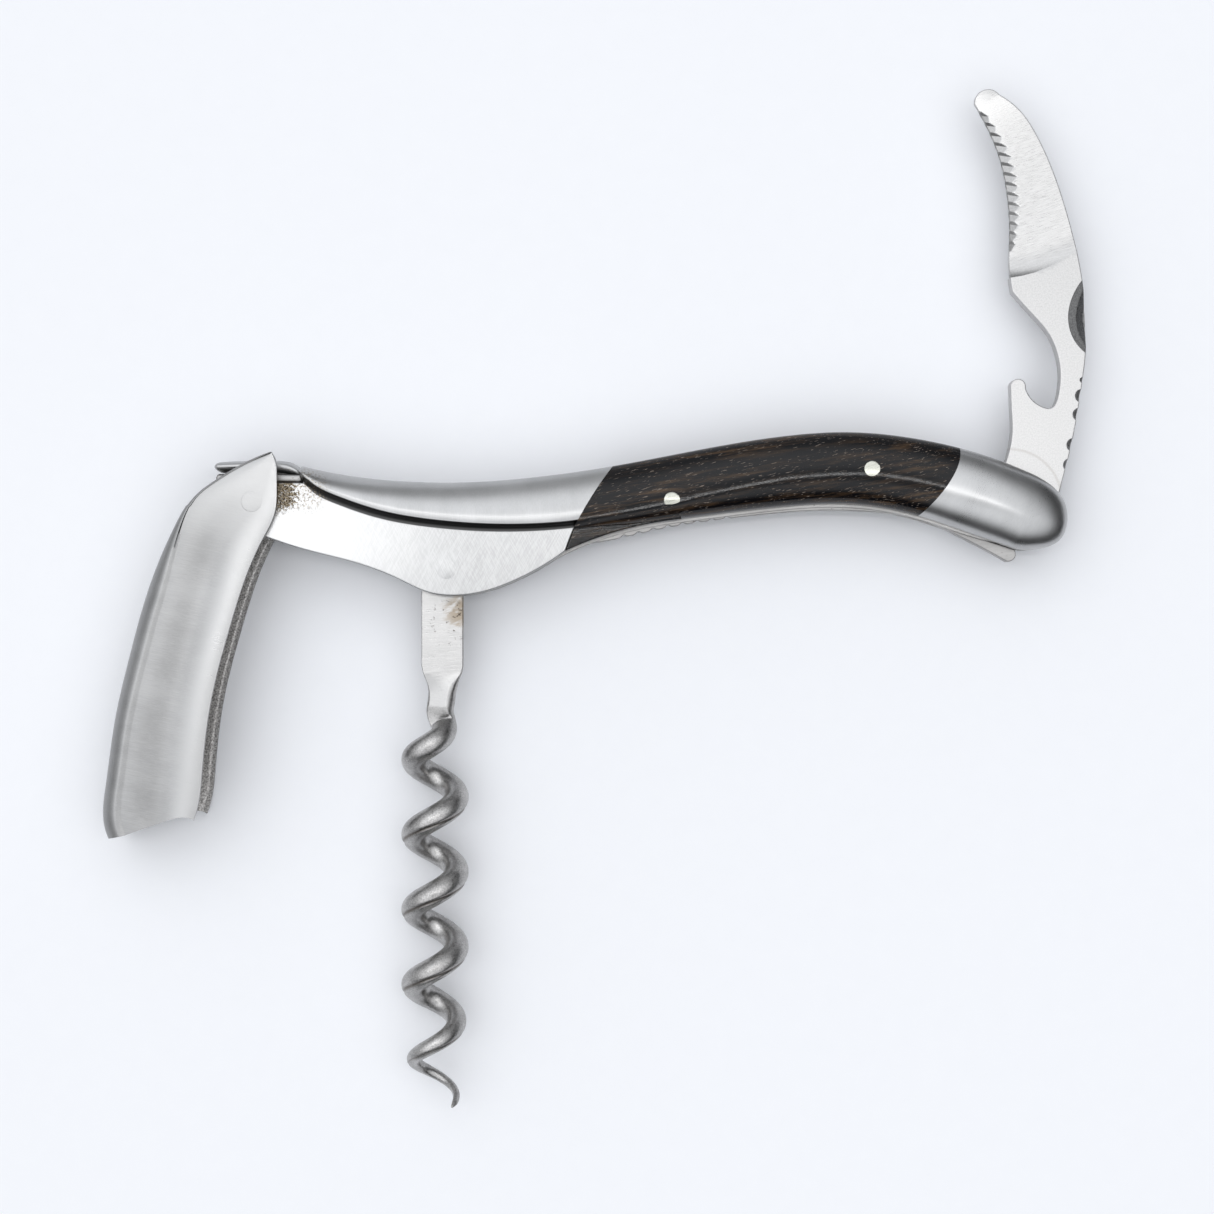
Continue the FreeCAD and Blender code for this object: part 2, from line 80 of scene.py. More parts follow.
# %% Smooth lines and outlines
def smooth(points, count=40):
    """Cubic spline through the points, as `count` places.  The slope at each point solves the
    equations that make neighbouring cubics bend alike; the ends take a parabola's slope."""
    p = np.array(points, float)
    t = np.concatenate([[0], np.cumsum(np.linalg.norm(np.diff(p, axis=0), axis=1))])
    gap = np.diff(t)[:, None]
    chord = np.diff(p, axis=0) / gap
    n = len(p)
    matrix = np.eye(n)
    right = np.empty_like(p)
    inner = np.arange(1, n - 1)
    matrix[inner, inner - 1] = gap[1:, 0]
    matrix[inner, inner] = 2 * (gap[1:, 0] + gap[:-1, 0])
    matrix[inner, inner + 1] = gap[:-1, 0]
    right[inner] = 3 * (gap[1:] * chord[:-1] + gap[:-1] * chord[1:])
    right[0] = chord[0] + (chord[0] - chord[1]) * gap[0] / (gap[0] + gap[1])
    right[-1] = chord[-1] + (chord[-1] - chord[-2]) * gap[-1] / (gap[-1] + gap[-2])
    slope = np.linalg.solve(matrix, right)
    at = np.linspace(0, t[-1], count)
    i = np.clip(np.searchsorted(t, at, side="right") - 1, 0, n - 2)
    s = ((at - t[i]) / gap[i, 0])[:, None]
    g = gap[i]
    return ((2 * s**3 - 3 * s**2 + 1) * p[i] + (s**3 - 2 * s**2 + s) * g * slope[i]
            + (3 * s**2 - 2 * s**3) * p[i + 1] + (s**3 - s**2) * g * slope[i + 1])


def arc(start, via, end, count=12):
    """Circle arc through three points: centre from the crossing of two chords' bisectors, then an
    even turn from the first angle to the last the way that passes the middle point."""
    a, b, c = (np.array(q, float) for q in (start, via, end))
    centre = np.linalg.solve(2 * np.array([b - a, c - a]), [b @ b - a @ a, c @ c - a @ a])
    angle = [math.atan2(*(q - centre)[::-1]) for q in (a, b, c)]
    turn = (angle[2] - angle[0]) % (2 * math.pi)
    if (angle[1] - angle[0]) % (2 * math.pi) > turn:
        turn -= 2 * math.pi
    angles = angle[0] + turn * np.linspace(0, 1, count)
    return centre + np.linalg.norm(a - centre) * np.stack([np.cos(angles), np.sin(angles)], 1)


def spaced(line, count):
    """The same line with `count` places evenly spaced along it."""
    length = np.concatenate([[0], np.cumsum(np.linalg.norm(np.diff(line, axis=0), axis=1))])
    at = np.linspace(0, length[-1], count)
    return np.stack([np.interp(at, length, line[:, k]) for k in range(line.shape[1])], 1)


def shares(line, where):
    """Places on a line at the given shares of its length."""
    dense = spaced(line, 400)
    at = np.asarray(where) * 399
    return np.stack([np.interp(at, np.arange(400), dense[:, k]) for k in range(2)], -1)


def trace(outline, step):
    """Closed outline as places about `step` apart: a tuple is a straight line to that point, a
    list of two points an arc, a longer list a smooth curve."""
    here = np.array(outline[0], float)
    runs = []
    for part in outline[1:]:
        if isinstance(part, tuple):
            line = np.array([here, part], float)
        elif len(part) == 2:
            line = arc(here, *part, 40)
        else:
            line = smooth([here] + list(part), 30 * len(part))
        length = np.linalg.norm(np.diff(line, axis=0), axis=1).sum()
        runs.append(spaced(line, max(2, int(round(length / step)) + 1))[:-1])
        here = line[-1]
    return np.concatenate(runs)


# %% [markdown]
# ## Meshes
# A piece of sheet or plate has two skins and a rim. Where the skins share one grid, the faces are
# plain index arithmetic, and the rim stands under every edge that only one cell has. Where the
# outline is too ragged for a grid, as on the knife with its notch and its teeth, a constrained
# Delaunay triangulation fills the outline, and the heights of both skins are still formulas.

# %% Closed shells from two skins
def rimmed(cells, count):
    """Faces of a closed shell: the cells, the same cells reversed `count` further on, and a rim
    quad under each edge that belongs to only one cell."""
    size = cells.shape[1]
    edges = np.stack([cells, np.roll(cells, -1, axis=1)], -1).reshape(-1, 2)
    key = np.sort(edges, axis=1) @ [count, 1]
    _, first, times = np.unique(key, return_index=True, return_counts=True)
    lone = edges[first[times == 1]]
    rim = np.stack([lone[:, 1], lone[:, 0], lone[:, 0] + count, lone[:, 1] + count], 1)
    other = cells[:, ::-1] + count
    if size == 4:
        return np.concatenate([cells, other, rim]).tolist()
    return cells.tolist() + other.tolist() + rim.tolist()


def sheet(outer, inner, keep=None):
    """Shell between two grids of places; `keep` marks the cells that exist."""
    rows, columns = outer.shape[:2]
    index = np.arange(rows * columns).reshape(rows, columns)
    cells = np.stack([index[:-1, :-1], index[1:, :-1], index[1:, 1:], index[:-1, 1:]], -1)
    cells = cells[np.ones(cells.shape[:2], bool) if keep is None else keep]
    points = np.concatenate([outer.reshape(-1, 3), inner.reshape(-1, 3)])
    return points, rimmed(cells, rows * columns)


def tube(rings):
    """Shell round a stack of closed rings, with a middle point closing each end."""
    stations, around = rings.shape[:2]
    index = np.arange(stations * around).reshape(stations, around)
    ahead = np.roll(index, -1, axis=1)
    sides = np.stack([index[:-1], ahead[:-1], ahead[1:], index[1:]], -1).reshape(-1, 4)
    first, last = stations * around, stations * around + 1
    start = np.stack([ahead[0], index[0], np.full(around, first)], 1)
    end = np.stack([index[-1], ahead[-1], np.full(around, last)], 1)
    points = np.concatenate([rings.reshape(-1, 3), rings[0].mean(0)[None], rings[-1].mean(0)[None]])
    return points, sides.tolist() + start.tolist() + end.tolist()


def mirrored(shell):
    """The same shell on the other side of the mid-plane."""
    points, faces, *mark = shell
    return (points * [1, 1, -1], [face[::-1] for face in faces], *mark)


# %% Plates with any outline
def distance(places, line, closed=True):
    """Distance from each place to a line of short straight runs, as the least over its runs."""
    a = line if closed else line[:-1]
    b = np.roll(line, -1, axis=0) if closed else line[1:]
    best = np.full(len(places), np.inf)
    for some in np.array_split(np.arange(len(a)), max(1, len(a) // 60)):
        run = b[some] - a[some]
        off = places[:, None] - a[some]
        t = np.clip((off * run).sum(-1) / np.maximum((run * run).sum(-1), 1e-12), 0, 1)
        best = np.minimum(best, np.linalg.norm(off - t[..., None] * run, axis=-1).min(1))
    return best


def inside(places, loop):
    """True where a place lies in a closed loop: a ray to the right crosses it an odd number of times."""
    a, b = loop, np.roll(loop, -1, axis=0)
    x, y = places[:, 0, None], places[:, 1, None]
    spans = (a[:, 1] > y) != (b[:, 1] > y)
    rise = np.where(a[:, 1] == b[:, 1], 1e-12, b[:, 1] - a[:, 1])
    reach = a[:, 0] + (y - a[:, 1]) * (b[:, 0] - a[:, 0]) / rise
    return (spans & (x < reach)).sum(1) % 2 == 1


def inset(loop, depth):
    """A loop moved inwards along the bisector of its neighbouring runs."""
    run = np.roll(loop, -1, axis=0) - np.roll(loop, 1, axis=0)
    run /= np.linalg.norm(run, axis=1)[:, None]
    turned = np.stack([-run[:, 1], run[:, 0]], 1)
    area = (loop * np.roll(loop, -1, axis=0)[:, ::-1] * [1, -1]).sum()
    return loop + depth * turned * np.sign(area)


def plate(loop, top, bottom, spacing, lines=(), soft=0.15, fine=None):
    """Plate with any outline.  The skins are top(x, y) and bottom(x, y); both fall to the rim over
    the width `soft` along a quarter circle.  `lines` are creases that the triangles follow."""
    loops = [loop] + [inset(loop, soft * share) for share in (0.3, 0.7, 1.0, 1.4)]
    chains = [(line, True) for line in loops] + list(lines)
    low, high = loop.min(0), loop.max(0)
    x, y = np.meshgrid(np.arange(low[0], high[0], spacing), np.arange(low[1], high[1], spacing))
    x[::2] += spacing / 2
    filling = [np.stack([x.ravel(), y.ravel()], 1)]
    if fine is not None:
        filling.append(fine)
    filling = np.concatenate(filling)
    filling = filling[inside(filling, loop)]
    near = distance(filling, loop)
    filling = filling[near > soft + 0.3 * spacing] if fine is None else filling[near > soft * 1.7]
    for line, closed in lines:
        filling = filling[distance(filling, line, closed) > 0.06]
    coords, edges = [], []
    for line, closed in chains:
        start = sum(len(c) for c in coords)
        index = np.arange(start, start + len(line))
        coords.append(line)
        pairs = np.stack([index, np.roll(index, -1)], 1)
        edges.append(pairs if closed else pairs[:-1])
    coords = np.concatenate(coords + [filling])
    edges = np.concatenate(edges)
    places, _, faces, _, _, _ = delaunay_2d_cdt(
        [Vector(c) for c in coords.tolist()], edges.tolist(), [], 1, 1e-4)
    places = np.array([tuple(place) for place in places])
    cells = np.array([face for face in faces if len(face) == 3])
    corner = places[cells]
    turn = np.cross(corner[:, 1] - corner[:, 0], corner[:, 2] - corner[:, 0])
    cells[turn < 0] = cells[turn < 0][:, ::-1]
    middle = corner.mean(1)
    cells = cells[inside(middle, loop) & (np.abs(turn) > 1e-9)]
    edge = np.clip(soft - distance(places, loop), 0, soft)
    fall = soft - np.sqrt(soft**2 - edge**2)
    skins = [np.column_stack([places, top(*places.T) - fall]),
             np.column_stack([places, bottom(*places.T) + fall])]
    return np.concatenate(skins), rimmed(cells, len(places))


def level(height):
    """A skin at one height."""
    return lambda x, y: np.full_like(x, height)


# %% From shells to pieces
def welded(shells):
    """Shells joined in one list, with places that coincide made one and faces that have
    shrunk to a line left out.  A shell may carry a mark, one number for each place."""
    points, marks, faces = [], [], []
    start = 0
    for places, corners, *mark in shells:
        points.append(places)
        marks.append(mark[0] if mark else np.zeros(len(places)))
        faces += [[i + start for i in corner] for corner in corners]
        start += len(places)
    points, marks = np.concatenate(points), np.concatenate(marks)
    _, first, same = np.unique((points * 10000).round().astype(int), axis=0, return_index=True, return_inverse=True)
    same = same.ravel()
    rings = [list(dict.fromkeys(same[corner].tolist())) for corner in faces]
    return points[first], [ring for ring in rings if len(ring) > 2], marks[first]


def make_piece(name, shells, origin, body, finish, nodes=(), bevel=0.0, crease=40):
    """One object from closed shells in mm about a pin: welded, shaded smooth up to the crease
    angle, riding on a body, and standing for the CAD nodes that it replaces."""
    points, faces, marks = welded(shells)
    mesh = bpy.data.meshes.new(name)
    mesh.from_pydata(((points + origin) * MM).tolist(), [], faces)
    mesh.attributes.new("mark", "FLOAT", "POINT").data.foreach_set("value", marks)
    work = bmesh.new()
    work.from_mesh(mesh)
    bmesh.ops.recalc_face_normals(work, faces=work.faces)
    volume = work.calc_volume(signed=True)
    open_edges = sum(1 for edge in work.edges if len(edge.link_faces) != 2)
    work.to_mesh(mesh)
    work.free()
    mesh.polygons.foreach_set("use_smooth", np.ones(len(mesh.polygons), bool))
    mesh.set_sharp_from_angle(angle=math.radians(crease))
    mesh.materials.append(finish)
    piece = bpy.data.objects.new(name, mesh)
    bpy.context.scene.collection.objects.link(piece)
    if bevel:
        rounding = piece.modifiers.new("soft edges", "BEVEL")
        rounding.width = bevel * MM
        rounding.segments = 2
        rounding.limit_method = "ANGLE"
        rounding.angle_limit = math.radians(50)
        rounding.harden_normals = True
    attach(piece, body)
    if nodes:
        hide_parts(*nodes)
    print(f"{name}: {len(mesh.polygons)} faces, {volume * 1e9:.0f} mm3, open edges {open_edges}")
    return piece


# %% [markdown]
# ## Shader maths
# A finish is easier to read as arithmetic than as a web of nodes. A small class wraps a socket, so
# that `1 - mask` or `noise * 0.2 + 0.3` adds the Math nodes by itself, and a second class adds any
# other node from its type, its settings and what feeds it.

# %% Sockets that add up
class Value:
    """A number that changes over a surface.  Sums, differences, products and powers add Math nodes."""

    def __init__(self, finish, socket):
        self.finish = finish
        self.socket = socket

    def math(self, operation, *values, clamp=False):
        settings = {"operation": operation, "use_clamp": clamp}
        return self.finish.add("ShaderNodeMath", settings, dict(enumerate(values)))

    def __add__(self, other):
        return self.math("ADD", self, other)

    def __sub__(self, other):
        return self.math("SUBTRACT", self, other)

    def __rsub__(self, other):
        return self.math("SUBTRACT", other, self)

    def __mul__(self, other):
        return self.math("MULTIPLY", self, other)

    def __truediv__(self, other):
        return self.math("DIVIDE", self, other)

    def __pow__(self, other):
        return self.math("POWER", self, other)

    __radd__ = __add__
    __rmul__ = __mul__

    def clamped(self):
        return self.math("MULTIPLY", self, 1.0, clamp=True)

    def larger(self, other):
        return self.math("MAXIMUM", self, other)


class Finish:
    """A material under construction: one Principled shader and the nodes that feed it."""

    def __init__(self, name, metallic=0.0, **constants):
        self.material = bpy.data.materials.new(name)
        self.material.use_nodes = True
        self.tree = self.material.node_tree
        self.shader = self.tree.nodes["Principled BSDF"]
        self.shader.inputs["Metallic"].default_value = metallic
        for socket, value in constants.items():
            self.shader.inputs[socket.replace("_", " ")].default_value = value
        self.places = self.add("ShaderNodeTexCoord", output="Object")

    def feed(self, socket, value):
        if isinstance(value, Value):
            self.tree.links.new(value.socket, socket)
        else:
            socket.default_value = value

    def add(self, kind, settings=None, feeds=None, output=0):
        """A node of this type: settings first, then a value or a link for each input."""
        node = self.tree.nodes.new(kind)
        for name, value in (settings or {}).items():
            setattr(node, name, value)
        for name, value in (feeds or {}).items():
            self.feed(node.inputs[name], value)
        return Value(self, node.outputs[output])

    def turned(self, angle=0.0, scale=(1, 1, 1), centre=(0, 0, 0)):
        """Object coordinates in mm about a place, turned about Z and stretched."""
        shift = [-value * MM for value in centre]
        moved = self.add("ShaderNodeMapping", {}, {"Vector": self.places, "Location": shift})
        turned = self.add("ShaderNodeMapping", {}, {"Vector": moved, "Rotation": (0, 0, -math.radians(angle))})
        stretch = [value / MM for value in scale]
        return self.add("ShaderNodeMapping", {}, {"Vector": turned, "Scale": stretch})

    def noise(self, angle=0.0, scale=(1, 1, 1), detail=3.0, rough=0.55, centre=(0, 0, 0)):
        """Cloudy noise from 0 to 1; `scale` is waves per mm along each turned axis."""
        feeds = {"Vector": self.turned(angle, scale, centre), "Scale": 1.0, "Detail": detail, "Roughness": rough}
        return self.add("ShaderNodeTexNoise", {}, feeds)

    def mark(self):
        """The number that the mesh carries at each place."""
        return self.add("ShaderNodeAttribute", {"attribute_name": "mark"}, output="Fac")

    def ramp(self, value, low, high, out_low=0.0, out_high=1.0):
        """Smooth step of a value from one level to another."""
        feeds = {"Value": value, "From Min": low, "From Max": high, "To Min": out_low, "To Max": out_high}
        return self.add("ShaderNodeMapRange", {"interpolation_type": "SMOOTHSTEP"}, feeds)

    def mix(self, share, first, second):
        """Blend of two colours."""
        feeds = {0: share, 6: first, 7: second}
        return self.add("ShaderNodeMix", {"data_type": "RGBA"}, feeds, output=2)

    def bump(self, height, depth, strength=1.0):
        feeds = {"Height": height, "Distance": depth * MM, "Strength": strength}
        return self.add("ShaderNodeBump", {}, feeds)

    def around(self, centre, radius, soften):
        """1 within a radius of a place, falling to 0; seen along Z."""
        offset = self.turned(scale=(1, 1, 0), centre=centre)
        far = self.add("ShaderNodeVectorMath", {"operation": "LENGTH"}, {0: offset}, output="Value")
        return self.ramp(far, radius, radius + soften, 1.0, 0.0)

    def finish(self, colour, roughness, normal=None):
        self.feed(self.shader.inputs["Base Color"], colour)
        self.feed(self.shader.inputs["Roughness"], roughness)
        if normal is not None:
            self.feed(self.shader.inputs["Normal"], normal)
        print("finish:", self.material.name, len(self.tree.nodes), "nodes")
        return self.material


def grey(tone, warm=0.0):
    """A near-grey colour, a little warm or cool."""
    return (tone * (1 + warm), tone, tone * (1 - warm), 1)


# %% [markdown]
# ## Steel finishes
# The same steel is satin on the lever, brushed on the bolsters, tumbled on the knife's tang and
# blasted on the worm. Brushing is noise drawn out along one direction. It changes the roughness and,
# through a bump of a few microns, the slope of the surface, which is what spreads the highlight.

# %% Brushed and satin steel
def brushed_steel(name, tone, angle, roughness, grain=1.0, warm=0.01, cloud=0.06, spots=0.0, extra=None):
    """Steel with a grain along one direction, faint polished clouds, a few pits, and painted shade, near black, where
    the mark is above zero.
    """
    steel = Finish(name, metallic=1.0)
    fibres = steel.noise(angle, (0.35, 9.0, 9.0), 4.0, 0.6)
    fine = steel.noise(angle, (1.2, 26.0, 26.0), 2.0)
    clouds = steel.noise(angle, (0.10, 0.22, 0.3), 3.0)
    lines = fibres * 0.6 + fine * 0.4
    share = steel.ramp(clouds * 0.7 + 0.15 + (lines - 0.5) * 1.2 * grain, 0.3, 0.7)
    colour = steel.mix(share, grey(tone * (1 - cloud), warm), grey(tone * (1 + cloud), warm))
    # A mark above zero is painted shade, near black: the cove at the foot of the raised front bolster.
    colour = steel.mix(steel.mark().clamped() * 0.93, colour, grey(0.045, 0.02))
    rough = roughness + (lines - 0.5) * 0.22 * grain + (clouds - 0.5) * 0.10
    height = lines
    if spots:
        pits = steel.ramp(steel.noise(0, (2.2, 2.2, 2.2), 3.0, 0.6), 0.70 - spots * 0.05, 0.76)
        colour = steel.mix(pits * 0.7, colour, grey(tone * 0.35, 0.08))
        rough = rough + pits * 0.2
        height = height - pits * 1.5
    if extra:
        colour, rough = extra(steel, colour, rough)
    return steel.finish(colour, rough.clamped(), steel.bump(height, 0.02 * grain, 0.6))


def lever_marks(steel, colour, rough):
    """A greyer, rougher tone inside the channel, where the sheet was never brushed; a painted sheen of lighter grey
    where the mark is below zero.
    """
    within = steel.mark().clamped()
    cast = steel.noise(0, (4.0, 4.0, 4.0), 3.0, 0.7)
    raw = steel.mix(steel.ramp(cast, 0.35, 0.65), grey(0.20, 0.04), grey(0.62, 0.03))
    painted_sheen = (0 - steel.mark()).clamped()
    # Painted sheen: a lighter grey where the mark is below zero.
    colour = steel.mix(painted_sheen, colour, grey(0.41, 0.004))
    return steel.mix(within, colour, raw), rough + within * 0.15 - painted_sheen * 0.04


satin_lever = brushed_steel("satin lever steel", 0.30, 168, 0.34, 0.7, 0.004, 0.10, extra=lever_marks)


def cheek_dirt_and_painted_light(steel, colour, rough):
    """Brown dirt where the lever's pin is, a thin speckled line under the step, and a painted pool of light, pale grey,
    fading out over about 25 mm.
    """
    flat = (0 - steel.mark()).clamped()
    swirls = steel.noise(62, (0.5, 7.0, 7.0), 2.0) * 0.5 + steel.noise(118, (0.5, 6.0, 6.0), 2.0) * 0.5
    colour = steel.mix(flat * 0.45, colour, steel.mix(steel.ramp(swirls, 0.40, 0.60), grey(0.26), grey(0.40)))
    # Painted light: a pale grey pool on the flat cheek round a place close to the lever's pin.
    painted_sheen = steel.around((-42.0, 8.0, 6.5), 3.0, 22.0)
    colour = steel.mix(painted_sheen * flat * 0.5, colour, grey(0.62))
    corner = steel.around((-44.9, 14.9, 6.5), 1.4, 3.4)
    specks = steel.noise(0, (2.6, 2.6, 2.6), 5.0, 0.75)
    dirt = steel.ramp(specks + corner * 0.34, 0.70, 0.80)
    brown = steel.mix(steel.ramp(steel.noise(0, (4, 4, 4), 3.0), 0.4, 0.6),
                      (0.05, 0.035, 0.022, 1), (0.30, 0.25, 0.18, 1))
    strip = steel.ramp(specks, 0.48, 0.58) * steel.around((-41.0, 15.4, 6.5), 1.6, 2.6) * 0.75
    return steel.mix((dirt * corner + strip).clamped(), colour, brown), rough + dirt * corner * 0.3


bolster_steel = brushed_steel("satin bolster steel", 0.42, 92, 0.31, 0.6, 0.0, 0.09, extra=cheek_dirt_and_painted_light)
tail_steel = brushed_steel("brushed tail steel", 0.44, 62, 0.29, 0.5, 0.0, 0.09)
inner_steel = brushed_steel("worn inner steel", 0.36, 10, 0.42, 0.8, 0.02, 0.2, spots=1.0)
plate_steel = brushed_steel("dull head plate steel", 0.42, 0, 0.38, 0.5, 0.0, 0.08, spots=0.5)


# %% Tumbled and blasted steel
def tumbled_steel():
    """Knife steel: a fine tumbled tang with a rubbed ring round its pin, a brushed blade where the
    mark is below zero, and painted shade, dark grey, where it is above: in the nick, the file
    cuts, the grooves between the teeth and along the plunge line."""
    steel = Finish("tumbled knife steel", metallic=1.0)
    mark = steel.mark()
    blade, dark = (0 - mark).clamped(), mark.clamped()
    dimples = steel.noise(0, (4.5, 4.5, 4.5), 4.0, 0.65)
    grain = steel.noise(18, (0.25, 11.0, 11.0), 4.0)
    spots = steel.ramp(steel.noise(0, (1.6, 1.6, 1.6), 4.0, 0.7), 0.66, 0.74)
    offset = steel.turned(scale=(1, 1, 0), centre=tuple(KNIFE_PIN))
    far = steel.add("ShaderNodeVectorMath", {"operation": "LENGTH"}, {0: offset}, output="Value")
    ring = 1 - steel.ramp((far - 7.45).math("ABSOLUTE", far - 7.45), 0.05, 0.28)
    texture = dimples * (1 - blade) + grain * blade
    colour = steel.mix(steel.ramp(texture, 0.35, 0.65), grey(0.41, 0.01), grey(0.50, 0.01))
    colour = steel.mix((spots * 0.35 * (1 - blade) + ring * 0.45).clamped(), colour, grey(0.30, 0.06))
    # Painted shade: a dark grey for the nick, the file cuts, the teeth's grooves and the band along the plunge line.
    shade_tone = steel.mix(steel.ramp(dimples, 0.3, 0.7), grey(0.05), grey(0.16))
    colour = steel.mix(dark * 0.95, colour, shade_tone)
    rough = 0.34 + (texture - 0.5) * 0.3 + dark * 0.12 - blade * 0.04
    normal = steel.bump(texture * 0.8 - ring * 0.5, 0.010, 0.5)
    return steel.finish(colour, rough.clamped(), normal)


def blasted_steel():
    """Worm steel: grey and matt from blasting, bright on the ground flats, darker in its pits, with
    painted shade in the fine groove, and brown near the handle."""
    steel = Finish("blasted worm steel", metallic=1.0)
    mark = steel.mark()
    flat, groove = (0 - mark).clamped(), mark.clamped()
    grit = steel.noise(0, (4.5, 4.5, 4.5), 5.0, 0.7)
    broad = steel.noise(0, (0.5, 0.5, 0.5), 3.0)
    brush = steel.noise(4, (0.5, 8.0, 8.0), 3.0)
    pits = steel.ramp(steel.noise(0, (1.5, 1.5, 1.5), 3.0, 0.7), 0.62, 0.68)
    top = steel.around((WORM_PIN[0] + 0.6, WORM_PIN[1] - 7.5, 6.5), 0.6, 4.2)
    right = steel.around((WORM_PIN[0] + 2.2, WORM_PIN[1] - 6.0, 6.5), 0.9, 3.4)
    stain = steel.ramp(steel.noise(20, (0.7, 1.6, 1.0), 4.0, 0.65) + right * 0.3, 0.55, 0.8) * right
    texture = grit * (1 - flat * 0.7) + brush * flat * 0.7
    colour = steel.mix(steel.ramp(texture * 0.7 + broad * 0.3, 0.36, 0.64), grey(0.27, 0.02), grey(0.52, 0.02))
    colour = steel.mix(flat * 0.8, colour, grey(0.44, 0.01))
    colour = steel.mix(stain * 0.75, colour, (0.34, 0.27, 0.19, 1))
    # Painted shade in the fine groove along the wire, in the same dark brown as the pits near the top.
    colour = steel.mix((pits * top + groove * 0.75).clamped(), colour, (0.08, 0.065, 0.05, 1))
    rough = 0.33 + (texture - 0.5) * 0.35 + stain * 0.2
    return steel.finish(colour, rough.clamped(), steel.bump(texture - pits * 0.6, 0.03, 0.6))


def nickel_silver():
    """Pale yellowish pin metal, finely scratched by the sanding of the wood round it."""
    metal = Finish("nickel silver", metallic=1.0)
    scratches = metal.noise(14, (0.8, 14.0, 6.0), 3.0)
    colour = metal.mix(metal.ramp(scratches, 0.35, 0.7), (0.44, 0.44, 0.385, 1), (0.57, 0.57, 0.51, 1))
    return metal.finish(colour, 0.28 + (scratches - 0.5) * 0.3, metal.bump(scratches, 0.01, 0.4))


knife_steel = tumbled_steel()
worm_steel = blasted_steel()
pin_metal = nickel_silver()


# %% [markdown]
# ## Dark wood
# The scales are a very dark wood, oiled and polished. Its grain runs along the handle as fine brown
# streaks, and its open pores are short pale dashes. Noise drawn out along the handle gives both;
# the low roughness of the polish gives sharp highlights that the grain breaks up.

# %% Polished dark wood
def dark_wood():
    wood = Finish("polished dark wood", Specular_IOR_Level=0.27)
    streaks = wood.noise(9, (0.10, 1.5, 1.5), 5.0, 0.65)
    fibres = wood.noise(9, (0.6, 9.0, 9.0), 3.0, 0.6)
    pores = wood.ramp(wood.noise(17, (0.9, 7.0, 7.0), 2.0, 0.5), 0.64, 0.70)
    bands = wood.noise(9, (0.04, 0.35, 0.35), 2.0)
    brown = wood.ramp(streaks * 0.75 + fibres * 0.25, 0.45, 0.70) * wood.ramp(bands, 0.3, 0.6)
    colour = wood.mix(brown, (0.003, 0.003, 0.004, 1), (0.080, 0.047, 0.024, 1))
    colour = wood.mix(pores * 0.6, colour, (0.26, 0.21, 0.17, 1))
    rough = 0.105 + (fibres - 0.5) * 0.10 + pores * 0.25
    height = fibres * 0.35 + streaks * 0.4 - pores * 0.8
    return wood.finish(colour, rough.clamped(), wood.bump(height, 0.014, 0.7))


ebony = dark_wood()


# %% [markdown]
# ## The handle's lines
# Liners, bolsters and scales share one side profile, drawn here about the worm's pin. The joint
# lines between steel and wood slant across it, and the step is where the raised part of the
# bolster stands over the flat cheek.

# %% Profile, joints and step
TOP_LINE = [(-20.4, 14.6), (-13.5, 13.2), (-6, 12.45), (2, 12.3), (10.5, 12.85), (23.4, 14.6),
            (36, 17.0), (47, 18.8), (57, 19.45), (66, 18.6), (75, 16.55), (82, 13.95)]
UNDERSIDE = [(-25.8, 4.7), (-20.6, 2.95), (-12.1, 0.7), (-6.5, -1.5), (-2.4, -3.3), (1.5, -3.7),
             (5, -3.25), (9, -1.9), (16.8, 2.6), (26, 5.85), (36, 7.5), (47, 8.8), (57, 9.2),
             (66.8, 7.55), (73, 5.5), (80.2, 2.95)]
STEP_FOOT = [(-20.4, 12.9), (-19.2, 11.2), (-15.6, 9.2), (-9.3, 7.1), (-2, 5.85), (7.6, 5.25),
             (18.0, 5.8)]
FRONT_JOINT = [(18.0, 5.8), (20.3, 9.9), (23.5, 14.62)]
REAR_JOINT = [(66.7, 7.58), (68.9, 9.8), (71.0, 12.6), (72.3, 15.4), (72.55, 17.2)]
INNER = 2.6
CREST = 6.5
CHEEK = 5.0
COVE_WIDTH = 1.25
top_line = smooth(TOP_LINE, 600)
underside = smooth(UNDERSIDE, 600)


def between(line, start, end, count):
    """Stretch of a line between two places along the handle."""
    x = np.linspace(start, end, count)
    return np.stack([x, np.interp(x, line[:, 0], line[:, 1])], 1)


def patch(bottom, top, start, end, along, across):
    """Flat grid between four edge lines: the blend of bottom and top, plus the blend of start and
    end, less the blend of the four corners."""
    u = along[:, None, None]
    v = across[..., None] if across.ndim == 2 else across[None, :, None]
    low, high = shares(bottom, along)[:, None], shares(top, along)[:, None]
    rows = np.arange(400) / 399
    flat_v = v[..., 0]
    side_a = np.stack([np.interp(flat_v, rows, spaced(start, 400)[:, k]) for k in range(2)], -1)
    side_b = np.stack([np.interp(flat_v, rows, spaced(end, 400)[:, k]) for k in range(2)], -1)
    corners = ((1 - u) * ((1 - v) * bottom[0] + v * top[0]) + u * ((1 - v) * bottom[-1] + v * top[-1]))
    return (1 - v) * low + v * high + (1 - u) * side_a + u * side_b - corners


def ease(value, low, high):
    """Smooth step from 0 to 1 between two levels."""
    t = np.clip((value - low) / (high - low), 0, 1)
    return t * t * (3 - 2 * t)


